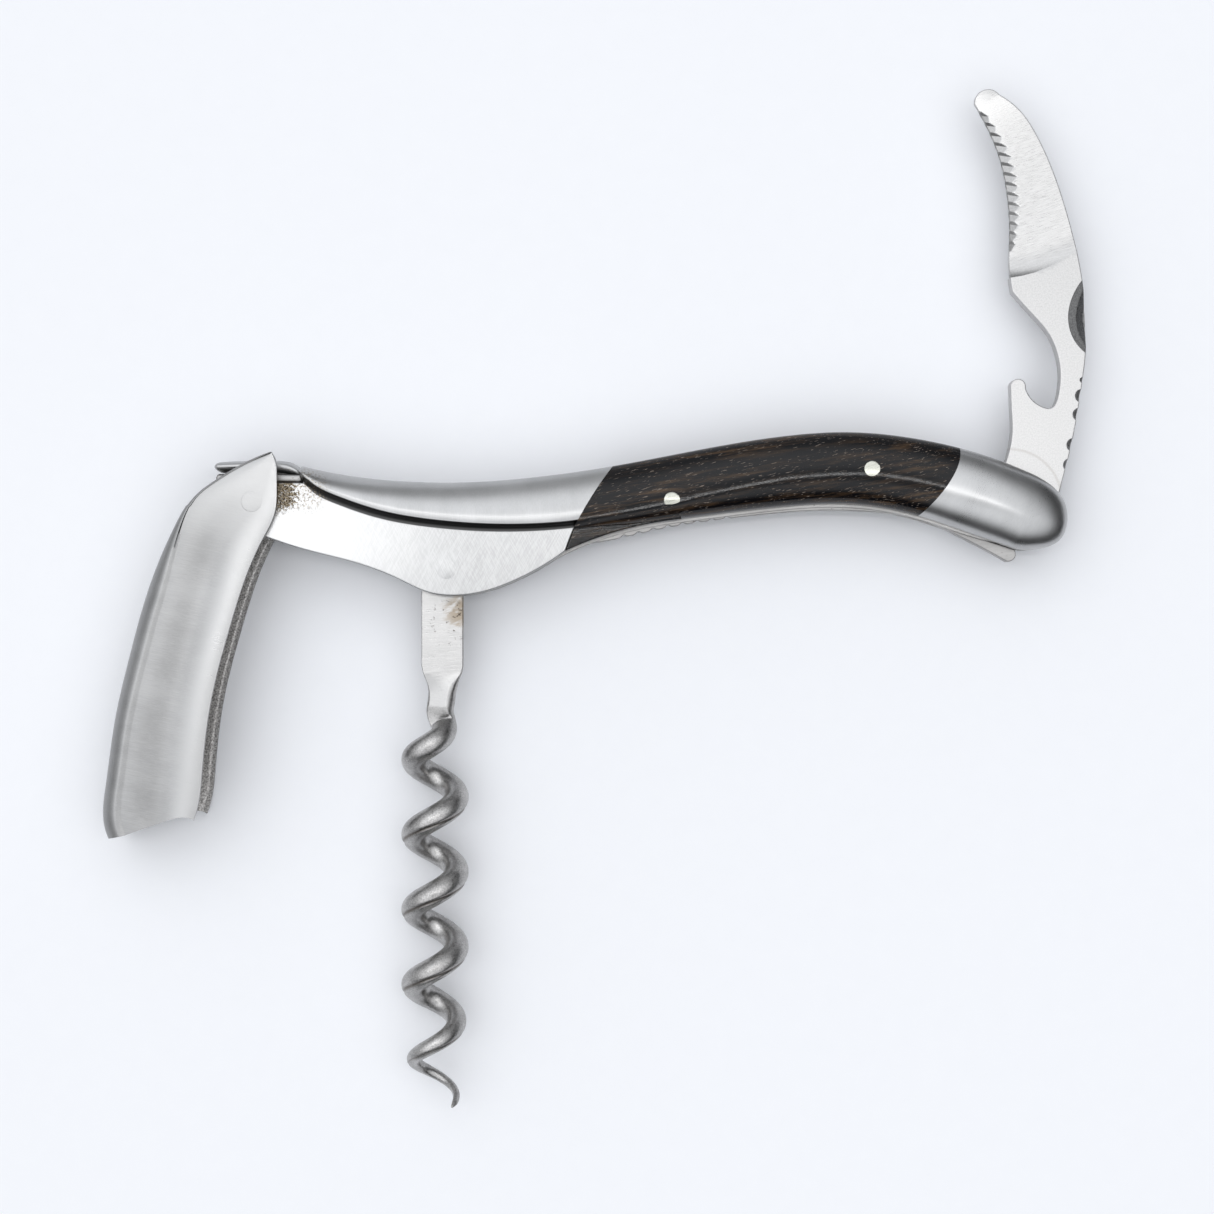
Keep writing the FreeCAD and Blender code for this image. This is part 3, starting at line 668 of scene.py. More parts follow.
# %% The crown of the handle
def crown(x, rows=26):
    """Section across the handle at places along it: shares of the width and heights.  Either side
    of the crest the surface falls as a quarter superellipse, softly at the tail and squarely at the
    step; width share = crest + (1 - crest) sin(a)^(2/n), height = CREST - drop (1 - cos(a)^(2/n))."""
    x = x[:, None]
    wood = ease(x, 19, 36)
    crest = np.interp(x, [-20, 10, 22, 32, 48, 60, 88], [0.16, 0.14, 0.14, 0.24, 0.40, 0.45, 0.46])
    power_low = 2 / (2.3 - 0.2 * wood - 0.3 * ease(x, 64, 80))
    power_top = 2 / (1.62 + 0.4 * wood - 0.25 * ease(x, 64, 80))
    drop_low, drop_top = 0.10 + 3.1 * wood, 3.0 + 0.3 * ease(x, 60, 80)
    a = np.linspace(math.pi / 2, 0, rows)
    low_share = crest * (1 - np.sin(a) ** power_low)
    low_height = CREST - drop_low * (1 - np.cos(a) ** power_low)
    b = np.linspace(0, math.pi / 2, rows)[1:]
    top_share = crest + (1 - crest) * np.sin(b) ** power_top
    top_height = CREST - drop_top * (1 - np.clip(np.cos(b), 0, 1) ** power_top)
    return np.concatenate([low_share, top_share], 1), np.concatenate([low_height, top_height], 1)


def lifted(flat, height):
    return np.concatenate([flat, height[..., None]], -1)


def handle_cover(flat, height, mark=None):
    """Closed cover from the liner's face out to a crowned skin; `mark` gives the parts that get painted shade."""
    points, faces = sheet(lifted(flat, height), lifted(flat, np.full(height.shape, INNER)))
    marks = np.zeros(height.shape) if mark is None else mark
    return points, faces, np.concatenate([marks.ravel(), marks.ravel()])


# %% [markdown]
# ## Front bolsters
# Each front bolster is a flat cheek that the lever closes over, and above it a raised part whose
# foot is a narrow cove. The raised part is a crowned grid between the step and the top line. The
# cheek is a plate of its own outline. Both are closed shells of the same piece.

# %% Front bolsters
def raised_bolster():
    along = np.linspace(0, 1, 121) ** 1.15
    foot = smooth(STEP_FOOT, 400)
    upper = between(top_line, -20.4, 23.5, 400)
    x = shares(foot, along)[:, 0] * 0.5 + shares(upper, along)[:, 0] * 0.5
    share, height = crown(x)
    width = np.linalg.norm(shares(upper, along) - shares(foot, along), axis=1)[:, None]
    cove = np.minimum(COVE_WIDTH / width, 0.42)
    t = np.linspace(0, 1, 11)[None, :-1]
    share = np.concatenate([cove * t, cove + (1 - cove) * share], 1)
    rise = height[:, :1] - CHEEK
    height = np.concatenate([CHEEK + 0.02 + (rise - 0.02) * (1 - np.sqrt(1 - t**2)), height], 1)
    start = np.array([(-20.4, 12.9), (-20.7, 13.7), (-20.4, 14.6)])
    flat = patch(foot, upper, smooth(start, 30), smooth(FRONT_JOINT, 60), along, share)
    end = np.clip(1 - (flat[..., 0] + 20.6) / 1.3, 0, 1)
    height = height - 1.1 * (1 - np.sqrt(1 - end**2 * 0.98))
    # Painted shade: the cove's columns get mark 1, which the bolster steel paints near black.
    dark = np.zeros(height.shape)
    dark[:, 1:10] = 1
    return handle_cover(flat, height, dark)


def cheek_loop():
    """Outline of the cheek: underside, joint, a line hidden under the raised part, and the head."""
    hidden = [(-19.2, 11.5), (-15.6, 9.45), (-9.3, 7.35), (-2, 6.1), (7.6, 5.5), (18.1, 5.95)]
    outline = [(-25.8, 4.7)] + [UNDERSIDE[1:8] + [(16.8, 2.6)], (17.5, 4.5), (18.1, 6.0), hidden[-2::-1],
                                (-20.0, 12.2), (-31.3, 12.2), [(-32.16, 9.0), (-25.8, 4.7)]]
    return trace(outline, 0.35)


cheek = plate(cheek_loop(), level(CHEEK), level(INNER), 1.5, soft=0.18)
# Mark -1 gives the flat cheek its swirls and the painted pool of light.
cheek = (*cheek, np.full(len(cheek[0]), -1.0))
raised = raised_bolster()
for side, turn in (("left", lambda shell: shell), ("right", mirrored)):
    make_piece(f"bolster_front_{side}", [turn(cheek), turn(raised)], WORM_PIN, "handle",
               bolster_steel, [f"front_bolster_{side}"])


# %% [markdown]
# ## Wooden scales
# The wood carries on the crown of the bolsters without a step, so it uses the same section formula.
# At its front end a thin wedge of it is cut down to the level of the cheek, to let the lever close.

# %% Scales
def scale_cover():
    along = np.linspace(0, 1, 141)
    low = np.concatenate([smooth([(18.0, 5.8), (20.5, 6.0), (26.5, 6.35), (32.9, 6.95)], 60)[:-1],
                          between(underside, 32.9, 66.7, 200)])
    upper = between(top_line, 23.5, 72.55, 400)
    x = shares(low, along)[:, 0] * 0.5 + shares(upper, along)[:, 0] * 0.5
    share, height = crown(x)
    flat = patch(low, upper, smooth(FRONT_JOINT, 60), smooth(REAR_JOINT, 60), along, share)
    return handle_cover(flat, height)


def scale_wedge():
    outline = [(16.8, 2.6)] + [[(20, 3.95), (26, 5.85), (33.2, 7.1)], (32.9, 7.6), (26.5, 7.0), (18.2, 6.4),
                               (17.5, 4.5), (16.8, 2.6)]
    return plate(trace(outline, 0.4), level(CHEEK), level(INNER), 1.5, soft=0.15)


scale = scale_cover()
wedge = scale_wedge()
for side, turn in (("left", lambda shell: shell), ("right", mirrored)):
    make_piece(f"wood_scale_{side}", [turn(scale), turn(wedge)], WORM_PIN, "handle",
               ebony, [f"scale_{side}"])


# %% [markdown]
# ## Rear bolsters
# The tail is egg shaped. The grid runs from the joint to a pole at the tail's tip, where the two
# edge lines meet, and the crown sinks towards the pole as an ellipse does.

# %% Rear bolsters
def tail_cover():
    along = 1 - (1 - np.linspace(0, 1, 90)) ** 1.6
    tip = (87.9, 7.4)
    low = np.concatenate([between(underside, 66.7, 80.2, 120)[:-1],
                          smooth([(80.2, 2.95), (83.1, 2.85), (86.6, 4.0), tip], 80)])
    upper = np.concatenate([between(top_line, 72.55, 82.0, 100)[:-1],
                            smooth([(82, 13.95), (84.4, 12.75), (86.3, 11.3), (87.5, 9.5), tip], 80)])
    x = shares(low, along)[:, 0] * 0.5 + shares(upper, along)[:, 0] * 0.5
    share, height = crown(x)
    ends = np.array([tip, tip, tip], float)
    flat = patch(low, upper, smooth(REAR_JOINT, 60), ends, along, share)
    flat[-1] = tip
    gone = np.clip((flat[..., 0] - 76.5) / (87.9 - 76.5), 0, 1)
    sink = (1 - gone**2.1) ** (1 / 2.05)
    return handle_cover(flat, INNER + 0.35 + (height - INNER - 0.35) * sink)


tail = tail_cover()
for side, turn in (("left", lambda shell: shell), ("right", mirrored)):
    make_piece(f"bolster_rear_{side}", [turn(tail)], WORM_PIN, "handle", tail_steel,
               [f"rear_bolster_{side}"])


# %% [markdown]
# ## The lever
# The lever is one sheet bent to a U: a wall on each side and a web along the back. The section of
# the sheet is the same recipe at every place along it, so the outer skin is a grid: wall, corner
# arc, web, corner arc, wall. The inner skin is the same grid moved in by the sheet's thickness.
# Above the web's end its cells are left out, and the walls go on alone as pointed ears.

# %% Lever
SHEET = 1.3
WEB_START = 0.222
EAR_TIP = (2.75, 6.95)
LEVER_FRONT = [EAR_TIP, (3.15, 6.3), (3.5, 3.5), (3.5, 1.0), (3.3, -1.2), (1.6, -5.1), (-0.2, -8.9),
               (-3.0, -17.3), (-5.7, -27.8), (-7.0, -38), (-7.6, -42.8), (-8.2, -44.8)]
LEVER_BACK = [(2.55, 7.0), (0.3, 6.1), (-2.6, 4.6), (-5.3, 2.9), (-7.9, 0.9), (-10.3, -2.4),
              (-14.7, -11.7), (-17.6, -21.8), (-19.7, -31.0), (-20.9, -39.5), (-21.1, -46.0),
              (-20.6, -47.5)]
LEVER_FOOT = [(-8.2, -44.8), (-11.5, -44.7), (-15.7, -45.8), (-20.6, -47.5)]


def lever_shell():
    """Bent sheet.  At each station the wall runs from the front line towards the back line, then
    turns the corner on an arc of radius r and crosses to the other wall."""
    stations, wall, bend, web = 170, 40, 10, 12
    along = np.linspace(0, 1, stations)
    front = shares(smooth(LEVER_FRONT, 600), along)
    back = shares(smooth(LEVER_BACK, 600), along)
    foot = smooth(LEVER_FOOT, 60)
    way = (back - front) / np.maximum(np.linalg.norm(back - front, axis=1, keepdims=True), 1e-6)
    back = back + way * 0.12 * ((along > WEB_START) * (1 - ease(along, WEB_START, 0.34)))[:, None]
    across = back - front
    reach = np.linalg.norm(across, axis=1, keepdims=True)
    way = across / np.maximum(reach, 1e-6)
    radius = 0.35 + 2.45 * ease(along, 0.17, 0.46)
    half = CREST
    straight = (np.linspace(0, 1, wall) ** 1.35)[None, :, None]
    end = (reach - radius[:, None])[:, None]
    wall_xy = front[:, None] + way[:, None] * end * straight
    bow = spaced(foot, wall)[None] - (foot[0] + (foot[-1] - foot[0]) * np.linspace(0, 1, wall)[:, None])
    wall_xy = wall_xy + bow * (ease(along, 0.72, 1.0) ** 1.5)[:, None, None]
    share = straight[0, :, 0]
    hollow = 0.38 * np.exp(-(((share - 0.52) / 0.26) ** 2)) * ease(along, 0.12, 0.4)[:, None]
    fall = 0.20 * share**5 + 0.10 * (1 - share) ** 14
    wall_z = half - fall - hollow
    turn = np.linspace(0, math.pi / 2, bend + 1)[1:]
    corner = front[:, None] + way[:, None] * (end + (radius[:, None] * np.sin(turn))[..., None])
    corner_z = half - radius[:, None] * (1 - np.cos(turn))
    flat_z = np.linspace(1, -1, web + 1)[None, 1:-1] * (half - radius[:, None])
    flat = np.broadcast_to(back[:, None], (stations, web - 1, 2))
    outer = np.concatenate([lifted(wall_xy, wall_z), lifted(corner, corner_z), lifted(flat, flat_z)], 1)
    inner_radius = np.maximum(radius - SHEET, 0.2)
    web_in = SHEET * ease(along, WEB_START - 0.025, WEB_START)[:, None]
    inner_end = reach - web_in - inner_radius[:, None]
    inner_wall = front[:, None] + way[:, None] * inner_end[:, None] * straight
    inner_wall = inner_wall + bow * (ease(along, 0.72, 1.0) ** 1.5)[:, None, None]
    inner_corner = front[:, None] + way[:, None] * (
        inner_end[:, None] + (inner_radius[:, None] * np.sin(turn))[..., None])
    inner_corner_z = half - SHEET - inner_radius[:, None] * (1 - np.cos(turn))
    inner_z = np.linspace(1, -1, web + 1)[None, 1:-1] * (half - SHEET - inner_radius[:, None])
    inner_back = np.broadcast_to((front + way * (reach - web_in))[:, None], (stations, web - 1, 2))
    deburred = 0.42 * np.clip(1 - straight[0, :, 0] * reach / 0.75, 0, 1)
    inner = np.concatenate([lifted(inner_wall, half - SHEET + deburred),
                            lifted(inner_corner, inner_corner_z), lifted(inner_back, inner_z)], 1)

    def whole(skin):
        """The other wall and corner are the first ones mirrored, in the opposite order; its ear
        is ground a little lower."""
        other = skin[:, : wall + bend][:, ::-1] * [1, 1, -1]
        other[..., 1] -= 0.9 * ease(other[..., 1], 5.2, 6.95)
        return np.concatenate([skin, other], 1)

    outer, inner = whole(outer), whole(inner)
    columns = outer.shape[1] - 1
    keep = np.ones((stations - 1, columns), bool)
    web_cells = slice(wall + bend - 1, columns - (wall + bend - 1))
    keep[along[:-1] < WEB_START, web_cells] = False
    # Painted sheen, brighter along the walls' front edges and over the ears, carried as a mark below zero.
    edge_sheen = np.maximum(1 - ease(share, 0.10, 0.46), 0.70 * (1 - ease(along, 0.08, 0.34))[:, None])
    painted_sheen = np.zeros(outer.shape[:2])
    painted_sheen[:, :wall] = -edge_sheen
    painted_sheen[:, -wall:] = -edge_sheen[:, ::-1]
    points, faces = sheet(outer, inner, keep)
    return points, faces, np.concatenate([painted_sheen.ravel(), np.ones(painted_sheen.size)])


make_piece("lever_channel", [lever_shell()], LEVER_PIN, "lever", satin_lever,
           ["lever"], bevel=0.16, crease=50)


# %% [markdown]
# ## Rivets and pins
# A rivet is turned, so its shape is a profile of radius and height carried round the pin's axis.
# A small chamfer leaves a fine ring where it meets the sheet.

# %% Rivets and pins
def rod(radius, half_length, chamfer=0.12, dome=0.03, around=48):
    """Chamfered rod along Z with slightly domed ends: a stack of rings of varying radius."""
    near = np.array([(0.02, dome), (0.5, dome * 0.75), (0.85, dome * 0.3), (1, 0)])
    radii = np.concatenate([near[:, 0] * (radius - chamfer), [radius]])
    heights = np.concatenate([half_length + near[:, 1], [half_length - chamfer]])
    radii = np.concatenate([radii, radii[::-1]])
    heights = np.concatenate([heights, -heights[::-1]])
    angle = np.linspace(0, 2 * math.pi, around, endpoint=False)
    rings = np.stack([radii[:, None] * np.cos(angle), radii[:, None] * np.sin(angle),
                      np.repeat(heights[:, None], around, 1)], -1)
    return tube(rings[::-1])


def flush(shell, cover, origin, place):
    """Pin whose end is ground flush with a cover: its heights above the middle follow the plane
    that best fits the cover near the pin."""
    points, faces = shell
    skin = cover[0] + origin - place
    near = skin[(np.hypot(skin[:, 0], skin[:, 1]) < 2.2) & (skin[:, 2] > 3.2)]
    terms = np.column_stack([near[:, :2], near[:, 0] ** 2, near[:, 1] ** 2, np.ones(len(near))])
    fit = np.linalg.lstsq(terms, near[:, 2], rcond=None)[0]
    x, y, z = points.T
    lift = np.column_stack([x, y, x * x, y * y, np.ones_like(x)]) @ fit
    share = z / z.max()
    return np.column_stack([x, y, share * (lift + 0.03)]), faces


# The tone column is the mark: the lever rivet takes part of the lever's painted sheen, the worm rivet the cheek's flat
# finish with its painted pool of light.
RODS = [("rivet_lever", "lever_rivet", "lever", 1.55, 6.5, -0.58, "lever_steel", satin_lever),
        ("rivet_worm", "worm_rivet", "handle", 1.5, 5.0, -1.0, "bolster_steel", bolster_steel)]
for name, node, body, radius, half_length, tone, slot, finish in RODS:
    points, faces = rod(radius, half_length)
    painted_sheen = np.full(len(points), tone)
    make_piece(name, [(points, faces, painted_sheen)], middle_of(node), body, finish, [node])
for name, node in (("pin_scale_front", "spring_rivet"), ("pin_scale_rear", "rear_scale_pin")):
    pin = flush(rod(1.15, 6.4, 0.05), scale, WORM_PIN, middle_of(node))
    make_piece(name, [pin], middle_of(node), "handle", pin_metal, [node])


# %% [markdown]
# ## Head plate, spacer and spring
# Between the liners lie a spacer at the head and the back spring. The spacer carries a small ledge,
# and a plain plate with rounded edges sits on it. A bar with a superellipse section, drawn in to a
# point at both ends, makes plate and ledge.

# %% Bars
def bar(start, end, low, high, half, power=0.5, end_round=0.7, around=40, stations=60):
    """Rounded bar along X.  `low` and `high` give its edges at places along it; the section is
    (cos a)^power by (sin a)^power, and both halves shrink near the ends as a quarter circle does."""
    x = start + (end - start) * (1 - np.cos(np.linspace(0, math.pi, stations))) / 2
    gap = np.clip(np.minimum(x - start, end - x) / end_round, 0, 1)
    swell = np.sqrt(1 - (1 - gap) ** 2) * 0.96 + 0.04
    angle = np.linspace(0, 2 * math.pi, around, endpoint=False)
    c, s = np.cos(angle), np.sin(angle)
    c, s = np.sign(c) * np.abs(c) ** power, np.sign(s) * np.abs(s) ** power
    middle, tall = (low(x) + high(x)) / 2, (high(x) - low(x)) / 2
    y = middle[:, None] + (tall * swell)[:, None] * c
    z = (half - end_round * (1 - swell))[:, None] * s
    return tube(np.stack([np.repeat(x[:, None], around, 1), y, z], -1)[::-1])


def line_height(points):
    """Height of a smooth line over X."""
    line = smooth(points, 200)
    return lambda x: np.interp(x, line[:, 0], line[:, 1])


plate_top = line_height([(-32.9, 15.25), (-28, 15.5), (-24.5, 15.5), (-22.6, 15.35), (-21.4, 14.75), (-20.6, 14.0)])
plate_low = line_height([(-32.9, 13.85), (-28, 13.8), (-24.5, 13.75), (-22.6, 13.55), (-21.4, 13.3), (-20.6, 13.0)])
make_piece("head_plate_bar", [bar(-32.9, -20.6, plate_low, plate_top, 4.0, 0.75)], WORM_PIN, "handle",
           plate_steel, ["head_plate"])
ledge = bar(-32.6, -20.45, line_height([(-33, 12.2), (-26, 12.2), (-20, 12.2)]),
            line_height([(-33, 13.55), (-26, 13.6), (-20, 13.5)]), 4.0, 0.4, 0.35)
block_line = [(x, y - 0.3) for x, y in TOP_LINE[4::-1]]
block_loop = trace([(-25.8, 4.75)] + [[(-17.8, 2.4), (-12.1, 0.9), (-9.5, 0.3)], [(-8.6, 3.2), (-7.5, 6.4)],
                                      [(-4, 7.6), (6, 7.9), (20.4, 8.8)], (20.4, 13.9), block_line,
                                      (-20.4, 13.9), (-31.0, 13.9), (-31.3, 12.2),
                                      [(-32.1, 9.0), (-25.8, 4.75)]], 0.4)
block = plate(block_loop, level(1.38), level(-1.38), 2.0, soft=0.1)
make_piece("spacer_with_ledge", [block, ledge], WORM_PIN, "handle", inner_steel,
           ["front_spacer"])


# %% Back spring with file work
def spring_loop():
    """The spring's outline; short file cuts along its underside where the thumb feels them."""
    under = smooth([(-4.5, 3.6), (12, 3.3), (21.7, 3.95), (30, 5.75), (41.6, 7.5), (53, 8.45), (61.5, 8.15),
                    (67.2, 7.25), (72.9, 4.75), (79.6, 1.15)], 500)
    x = under[:, 0]
    cuts = np.abs(np.sin((x - 24.0) * math.pi / 2.1)) ** 6 * (x > 24.2) * (x < 41.0)
    under[:, 1] += 0.32 * cuts
    over = smooth([(80.6, 2.95), (78, 3.75), (76, 4.5), (74, 6.1), (70, 8.1), (63, 10.2), (54, 11.4), (44, 12.0),
                   (34, 12.1), (26, 10.3), (12, 6.5), (-4.5, 5.7)], 200)
    nose = arc(under[-1], (80.75, 1.75), over[0], 12)[1:-1]
    return np.concatenate([under, nose, over])


spring = plate(spring_loop(), level(1.38), level(-1.38), 2.0, soft=0.14)
make_piece("filed_back_spring", [spring], WORM_PIN, "handle", inner_steel, ["back_spring"])


# %% [markdown]
# ## The knife
# The tang is a flat plate with a hooked notch for crown caps. Past the plunge line both faces are
# ground hollow and down to a thin edge, and the edge has fourteen teeth. A nail nick and seven file
# cuts are sunk in near the back. The outline is filled with triangles that follow the plunge line
# and the nick; heights are one formula per feature, and the lowest of them wins.

# %% Knife outline
TANG = [(-0.6, 5.5), (-3.4, 4.9), (-4.7, 3.0), (-4.8, 0.5)]
SPINE = [(6.8, 0.3), (7.5, 2.9), (8.8, 8.0), (10.2, 15.9), (11.0, 24.0), (10.1, 33.2), (7.7, 42.9), (4.1, 51.9),
         (1.1, 56.2), (-1.4, 58.0)]
EDGE = [(-4.9, 56.6), (-3.1, 53.4), (-1.4, 49.3), (-0.3, 44.3), (0.1, 38.0), (0.0, 33.0), (0.4, 29.8)]
NOTCH = [(0.4, 29.8), (2.8, 27.1), (5.6, 23.8), (7.1, 19.5), (7.0, 15.6), (5.9, 13.35), (4.2, 13.75), (2.3, 16.1)]
PLUNGE = [(-0.1, 31.85), (3.5, 32.6), (8.5, 35.0), (10.1, 36.2)]
NICK = [(10.6, 31.9), (9.1, 29.6), (8.3, 26.3), (9.1, 23.1), (11.1, 20.9)]
FILE_CUTS = [(10.35, 17.3, 0.42), (10.25, 15.05, 1.0), (9.9, 12.4, 0.98), (9.5, 10.3, 0.42), (9.05, 8.05, 1.0),
             (8.55, 5.2, 0.98), (7.85, 3.0, 0.42)]
HALF_TANG = 1.3
TEETH = 14
TEETH_TOP = 55.6
TOOTH_PITCH = 1.41
TOOTH_LEAN = 0.22
SHORT_SIDE = 0.32

spine_line = smooth(SPINE, 300)
edge_line = smooth(EDGE, 300)
plunge_line = smooth(PLUNGE, 60)
nick_line = smooth(NICK, 60)


def knife_loop():
    """Outline from the tang up the spine, over the nose, down the edge and round the notch."""
    tang = [np.array(TANG[0])[None], arc(TANG[0], (-3.6, 5.0), (-4.7, 3.0), 8)[1:], np.array([(-4.8, 0.5), (-4.9, -3.6)]),
            smooth([(-4.9, -3.6), (-3.0, -5.4), (0.3, -6.15), (4.4, -4.3), (6.1, -0.4), (6.8, 0.3)], 40)[1:-1]]
    back = spaced(spine_line, 200)
    nose = arc(SPINE[-1], (-3.9, 58.6), EDGE[0], 14)[1:-1]
    edge = spaced(edge_line, 170)
    notch = spaced(smooth(NOTCH, 200), 90)[1:]
    hook = arc(NOTCH[-1], (1.2, 17.5), (0.1, 16.6), 10)[1:]
    neck = smooth([(0.1, 16.6), (0.25, 13.0), (0.35, 10.0), (-0.6, 5.5)], 30)[1:-1]
    return np.concatenate(tang + [back, nose, edge, notch, hook, neck])


# %% Knife faces
def line_x(line, y):
    """Where a line that climbs along Y stands at a height y."""
    order = np.argsort(line[:, 1])
    return np.interp(y, line[order, 1], line[order, 0])


def line_y(line, x):
    return np.interp(x, line[:, 0], line[:, 1])


def ground(places):
    """Half thickness of the blade: thicker at the spine than at the edge, and above the plunge line
    the round run-out of the grinding wheel, (1 - height / width)^3."""
    x, y = places.T
    to_edge, to_spine = distance(places, edge_line, False), distance(places, spine_line, False)
    blade = 0.50 + 0.55 * (to_edge / (to_edge + to_spine + 1e-9)) ** 0.85
    above = np.clip((y - line_y(plunge_line, x)) / 3.6, 0, 1)
    height = blade + (HALF_TANG - blade) * (1 - above) ** 3
    return np.where(above > 0, height, HALF_TANG), to_edge


def tooth(places):
    """Place in the row of teeth, counted in teeth from the tip; the grooves lean a little."""
    x, y = places.T
    return (TEETH_TOP - y - TOOTH_LEAN * (x - line_x(edge_line, y))) / TOOTH_PITCH


def knife_top(x, y):
    """Near face: the lowest of the ground face, the grooves between the teeth, the nick and the
    file cuts.  A groove falls fast and climbs slowly, and rises away from the edge."""
    places = np.stack([x, y], 1)
    height, to_edge = ground(places)
    row = tooth(places)
    part = row % 1
    climb = np.where(part < SHORT_SIDE, 1 - part / SHORT_SIDE, (part - SHORT_SIDE) / (1 - SHORT_SIDE))
    width = 0.65 + 0.95 * np.sin(math.pi * np.clip(row / TEETH, 0, 1)) ** 0.7
    groove = 0.04 + 0.22 * climb + 0.56 * to_edge / width
    height = np.where((row > 0) & (row < TEETH), np.minimum(height, groove), height)
    into = x - line_x(nick_line, y)
    nick = (into > 0.02) & (y > NICK[-1][1]) & (y < NICK[0][1])
    nick_depth = 0.10 + 0.16 * into + 0.75 * np.maximum(into - 1.25, 0)
    height = np.where(nick, np.minimum(height, HALF_TANG - np.minimum(nick_depth, 1.4)), height)
    for cut_x, cut_y, cut_radius in FILE_CUTS:
        off = np.hypot(x - cut_x, y - cut_y) / cut_radius
        scoop = HALF_TANG - 0.14 - 0.75 * cut_radius * np.clip(1 - off, 0, 1) ** 0.7
        height = np.where(off < 0.985, np.minimum(height, scoop), height)
    return height


def knife_bottom(x, y):
    height, to_edge = ground(np.stack([x, y], 1))
    return -np.where(y > line_y(plunge_line, x), np.minimum(height, 0.12 + 0.5 * to_edge), height)


def knife_mark(points):
    """Marks for the finish: below zero on the ground blade, above zero where shade is painted: the nick, the file cuts,
    the grooves of the teeth and a band along the plunge line.
    """
    x, y, z = points.T
    above = y - line_y(plunge_line, x)
    # Painted shade along the plunge line, darkest at the line and on its left.
    shadow = np.clip(1 - above / 2.6, 0, 1) ** 1.5 * (1.6 - 1.0 * ease(x, 1.5, 8))
    mark = np.where(above > 0.02, -1.0 + shadow, 0.0)
    mark = np.where((x < -0.6) & (y < 31.8), 0.0, mark)
    into = x - line_x(nick_line, y)
    nick = (into > 0.02) & (y > NICK[-1][1]) & (y < NICK[0][1])
    # Painted shade in the nail nick, darkest at its steep inner wall.
    mark = np.where(nick, 0.90 + 0.10 * ease(into, 1.1, 1.4), mark)
    for cut_x, cut_y, cut_radius in FILE_CUTS:
        # Painted shade in the file cuts.
        mark = np.where(np.hypot(x - cut_x, y - cut_y) < cut_radius * 0.985, 0.5, mark)
    row = tooth(points[:, :2])
    to_edge = distance(points[:, :2], edge_line, False)
    short = (row > 0) & (row < TEETH) & (row % 1 < SHORT_SIDE * 0.98) & (to_edge < 1.3)
    groove = (row > 0) & (row < TEETH) & (ground(points[:, :2])[0] - z > 0.02) & (to_edge < 1.9)
    # Painted shade in the grooves between the teeth, darker on their short steep side.
    mark = np.where(groove, np.where(short, 0.42, 0.22), mark)
    return np.where(z > 0, mark, np.minimum(mark, 0))


def fine_places():
    """Closer places where the teeth and the run-out are."""
    along = shares(edge_line, np.linspace(0.03, 0.99, 230))
    way = np.gradient(along, axis=0)
    off = np.stack([-way[:, 1], way[:, 0]], 1) / np.linalg.norm(way, axis=1)[:, None]
    teeth = (along[:, None] + off[:, None] * np.linspace(0.25, 1.9, 15)[None, :, None]).reshape(-1, 2)
    x, step = np.meshgrid(np.linspace(0.0, 10.0, 50), np.linspace(0.1, 3.6, 16))
    runout = np.stack([x.ravel(), line_y(plunge_line, x.ravel()) + step.ravel()], 1)
    x, y = np.meshgrid(np.linspace(6.8, 11, 28), np.linspace(2, 32, 200))
    cuts = np.stack([x.ravel(), y.ravel()], 1)
    return np.concatenate([teeth, runout, cuts[np.abs(cuts[:, 0] - line_x(spine_line, cuts[:, 1])) < 2.9]])


blade_lines = [(plunge_line, False), (nick_line, False), (nick_line + [0.08, 0], False)]
circle = np.linspace(0, 2 * math.pi, 25)[:-1]
for cut_x, cut_y, cut_radius in FILE_CUTS:
    for shrink in (1.0, 0.93):
        ring = np.stack([cut_x + shrink * cut_radius * np.cos(circle), cut_y + shrink * cut_radius * np.sin(circle)], 1)
        blade_lines.append((ring, True))
for step in range(TEETH + 1):
    for start in (0.0, SHORT_SIDE):
        reach = np.linspace(0.22, 1.8, 8)
        at_y = TEETH_TOP - (step + start) * TOOTH_PITCH - TOOTH_LEAN * reach
        blade_lines.append((np.stack([line_x(edge_line, at_y) + reach, at_y], 1), False))
knife = plate(knife_loop(), knife_top, knife_bottom, 0.55, blade_lines, soft=0.16, fine=fine_places())
knife = (*knife, knife_mark(knife[0]))
make_piece("foil_knife", [knife], KNIFE_PIN, "knife", knife_steel, ["knife_blade"], crease=25)


# %% [markdown]
# ## The worm
# The worm is forged from one bar: a flat shank with a rounded tang, a neck with a ground flat, then
# round wire wound into a right-handed screw that ends in a point. A superellipse section is carried
# along the middle line. Its exponent goes from square to round, and a fine groove follows the
# outside of the wire.

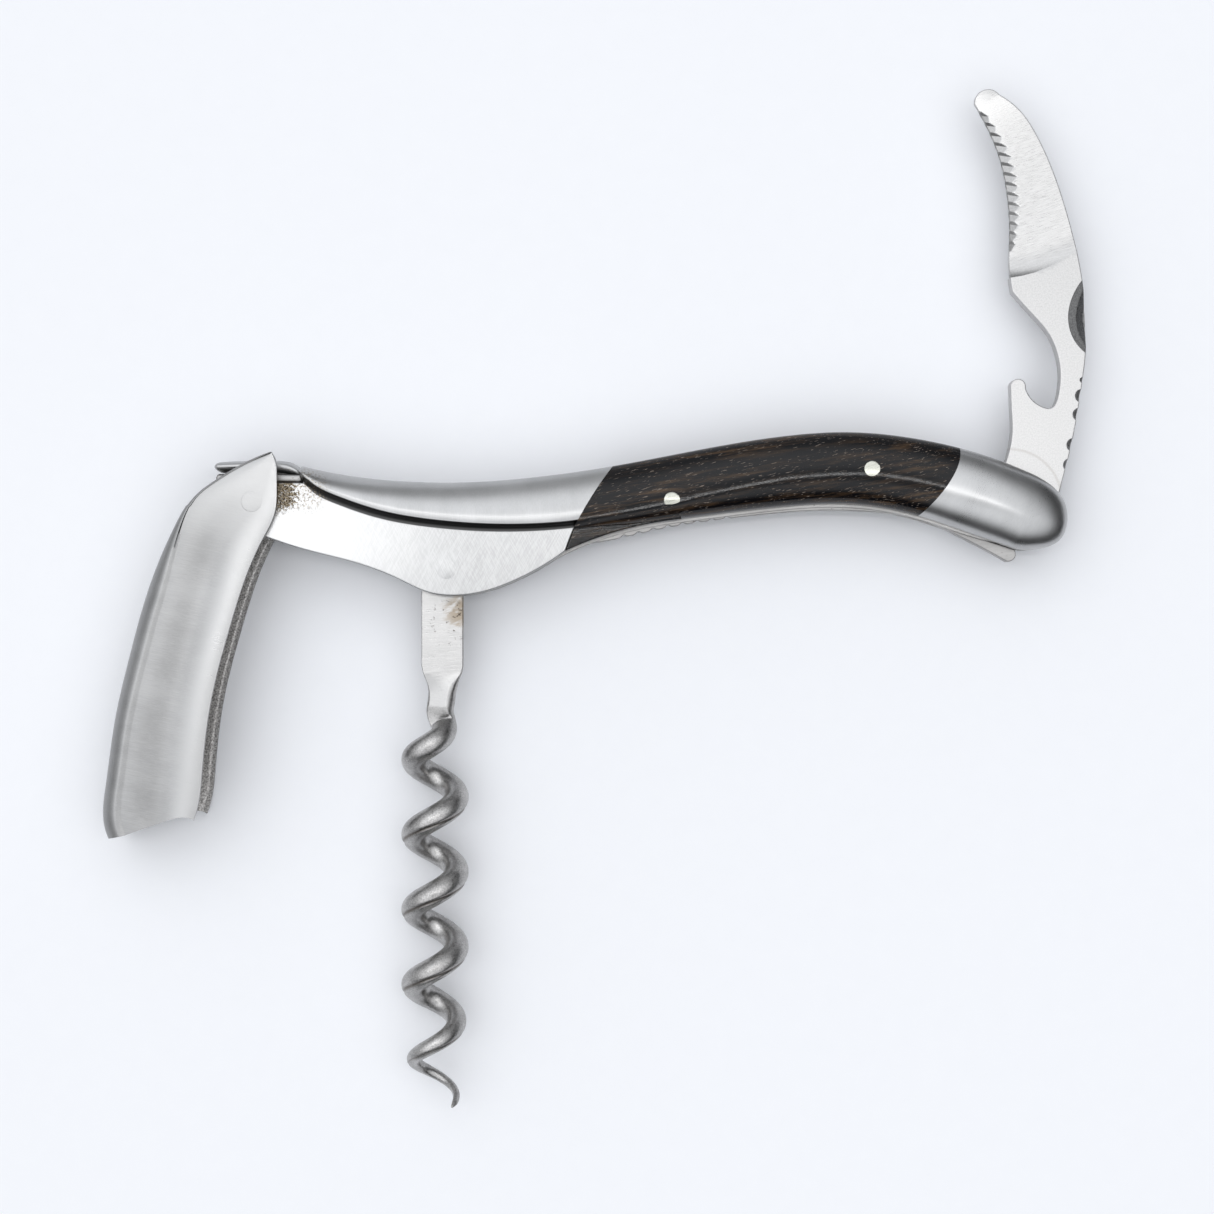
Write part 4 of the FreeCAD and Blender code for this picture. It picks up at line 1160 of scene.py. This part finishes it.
# %% Worm
def worm_shell():
    stations, around = 900, 64
    start, reach, pitch, phase = 3.05, -76.45, 10.7, -27.2
    y = np.concatenate([start - (start + 3) * (1 - np.cos(np.linspace(0, math.pi / 2, 40))),
                        np.linspace(-3, -17, 90)[1:], np.linspace(-17, reach, stations)[1:]])
    turn = 2 * math.pi * (phase - y) / pitch - math.pi
    swing = 3.05 * ease(-y, 19.3, 26.7)
    middle = -0.80 - 1.10 * ease(-y, 16.5, 25.0)
    centre = np.stack([middle + swing * np.cos(turn), y, swing * np.sin(turn)], 1)
    way = np.gradient(centre, y, axis=0) * -1
    way /= np.linalg.norm(way, axis=1, keepdims=True)
    follow = ease(-y, 18.5, 22.5)[:, None]
    way = way * follow + np.array([0, -1, 0]) * (1 - follow)
    way /= np.linalg.norm(way, axis=1, keepdims=True)
    side = np.cross([0, 0, 1], way)
    side /= np.linalg.norm(side, axis=1, keepdims=True)
    lift = np.cross(way, side)
    dome = np.sqrt(np.clip(1 - np.clip((y - 0.3) / (start - 0.3), 0, 1) ** 2, 1e-4, 1))
    share = np.clip((y + 17.2) / (reach + 17.2), 0, 1)
    wire = 1.45 + 0.30 * ease(share, 0.02, 0.12)
    point = np.clip((share - 0.74) / 0.26, 0, 1)
    wire = wire * (1 - point) + 0.38 * point
    wire = wire * np.sqrt(np.clip((y - reach) / 0.5 + 0.02, 0, 1))
    shank = np.interp(-y, [-3.1, 3, 13.7, 14.6, 16.4, 17.4, 30], [2.92, 2.95, 2.97, 2.80, 2.15, 1.98, 1.90])
    neck = ease(-y, 20.0, 25.0)
    wide = shank * dome * (1 - neck) + wire * neck
    square = ease(-y, 13.6, 18.5)
    thick = 1.3 * (1 - square) + wire * square
    power = 0.16 + 0.70 * ease(-y, 14.0, 19.0) + 0.14 * ease(-y, 20, 23)
    angle = np.linspace(0, 2 * math.pi, around, endpoint=False) + math.pi / around
    c, s = np.cos(angle), np.sin(angle)
    across = np.sign(c) * np.abs(c) ** power[:, None] * wide[:, None]
    up = np.sign(s) * np.abs(s) ** power[:, None] * thick[:, None]
    lean = 0.34 * ease(-y, 14.6, 17.6)[:, None] * across / 1.8 * (up > 0)
    fall = 0.45 * np.clip((-y - 19.5) / 2.6, 0, 1)[:, None] * (up > 0)
    filed = np.where((y > -22.1)[:, None], 1.20 + lean - fall, 9.0)
    mark = np.where(np.abs(up) > np.minimum(filed, 1.29) - 0.02, -1.0 + 0.75 * ease(-y, 19.3, 19.7)[:, None], 0.0) * (y > -22.0)[:, None]
    up = np.clip(up, -filed, filed)
    spoke = across[..., None] * side[:, None] + up[..., None] * lift[:, None]
    outward = np.stack([np.cos(turn), -0.75 + 0 * turn, np.sin(turn)], 1)
    outward -= (outward * way).sum(1, keepdims=True) * way
    outward /= np.linalg.norm(outward, axis=1, keepdims=True)
    length = np.linalg.norm(spoke, axis=-1, keepdims=True)
    near = np.clip((spoke / np.maximum(length, 1e-6) * outward[:, None]).sum(-1), -1, 1)
    groove = 0.16 * np.exp(-((np.arccos(near) / 0.12) ** 2)) * ease(-y, 29, 32)[:, None] * (1 - point[:, None])
    spoke = spoke * (1 - groove[..., None] / np.maximum(length, 0.3))
    points, faces = tube(centre[:, None] + spoke)
    # The groove's mark paints shade into it.
    mark = mark + np.clip(groove / 0.1, 0, 1)
    return points, faces, np.concatenate([mark.ravel(), [0, 0]])


make_piece("worm_screw", [worm_shell()], WORM_PIN, "worm", worm_steel, ["worm"], crease=60)


# %% [markdown]
# ## Pieces that keep their CAD shape
# The liners and the two hidden pins are plain plates and rods whose CAD shape is already right.
# They only get their finish.

# %% Carried-over pieces
for node in ("liner_left", "liner_right", "knife_rivet", "spacer_pin"):
    plain = frame["nodes"][node]
    plain.data.materials.clear()
    plain.data.materials.append(inner_steel)
    print(node, "keeps its shape and gets", inner_steel.name)


# %% [markdown]
# ## Floor, light and camera
# The tool lies on a pale sheet of paper under a big soft light, so its shadow is faint. A camera
# straight above sees the flat faces reflect that light, while faces that lean towards the lower
# edge reflect the darker end of the room. The sky is a gradient to give that difference.

# %% Floor
paper = Finish("pale paper", Specular_IOR_Level=0.2)
fibre = paper.noise(0, (0.3, 0.3, 0.3), 4.0)
paper_finish = paper.finish(paper.mix(fibre, (0.865, 0.872, 0.895, 1), (0.885, 0.892, 0.915, 1)), 0.7 + fibre * 0.1)
bpy.ops.mesh.primitive_plane_add(size=12, location=(0, 0, -0.00005))
floor = bpy.context.object
floor.name = "paper_floor"
floor.data.materials.append(paper_finish)


# %% Lights
def soft_light(name, place, size, power, colour=(1, 1, 1)):
    """Rectangular area light that faces the middle of the tool."""
    lamp = bpy.data.lights.new(name, "AREA")
    lamp.shape = "RECTANGLE"
    lamp.size, lamp.size_y = size
    lamp.energy = power
    lamp.color = colour
    holder = bpy.data.objects.new(name, lamp)
    bpy.context.scene.collection.objects.link(holder)
    holder.location = place
    holder.rotation_euler = (-Vector(place)).to_track_quat("-Z", "Y").to_euler()
    return holder


soft_light("overhead strip", (0.0, 0.07, 0.90), (0.60, 0.016), 0.80)

world = bpy.data.worlds.new("pale room")
bpy.context.scene.world = world
world.use_nodes = True
sky = world.node_tree
background = sky.nodes["Background"]
direction = sky.nodes.new("ShaderNodeTexCoord")
split = sky.nodes.new("ShaderNodeSeparateXYZ")
sky.links.new(direction.outputs["Generated"], split.inputs[0])


def sky_step(source, low, high, dark, bright):
    """Smooth step of one part of the direction."""
    step = sky.nodes.new("ShaderNodeMapRange")
    step.interpolation_type = "SMOOTHSTEP"
    for name, value in {"From Min": low, "From Max": high, "To Min": dark, "To Max": bright}.items():
        step.inputs[name].default_value = value
    sky.links.new(source, step.inputs["Value"])
    return step.outputs[0]


def sky_sum(first, second):
    both = sky.nodes.new("ShaderNodeMath")
    sky.links.new(first, both.inputs[0])
    sky.links.new(second, both.inputs[1])
    return both.outputs[0]


overhead = sky_step(split.outputs["Z"], 0.45, 0.86, 0.0, 1.35)
shade = sky_step(split.outputs["Z"], 0.95, 0.998, 0.0, -0.95)
leaning = sky.nodes.new("ShaderNodeVectorMath")
leaning.operation = "DOT_PRODUCT"
leaning.inputs[1].default_value = (-1.0, 0.6, 0.0)
sky.links.new(direction.outputs["Generated"], leaning.inputs[0])
walls = sky_step(leaning.outputs["Value"], -0.6, 1.0, 0.03, 0.68)
sky.links.new(sky_sum(sky_sum(overhead, shade), walls), background.inputs["Strength"])
background.inputs["Color"].default_value = (0.95, 0.97, 1.0, 1)
bpy.context.scene.view_settings.view_transform = "Standard"
print("one soft light and a graded room")

# %% Camera
VIEW_MIDDLE = np.array([1.37, -1.06])
VIEW_DISTANCE = 360.0
VIEW_WIDTH = 173.43
camera = bpy.data.cameras.new("camera")
camera.sensor_width = 36
camera.lens = camera.sensor_width * VIEW_DISTANCE / VIEW_WIDTH
viewer = bpy.data.objects.new("camera", camera)
bpy.context.scene.collection.objects.link(viewer)
viewer.location = (VIEW_MIDDLE[0] * MM, VIEW_MIDDLE[1] * MM, (VIEW_DISTANCE + WORM_PIN[2]) * MM)
bpy.context.scene.camera = viewer
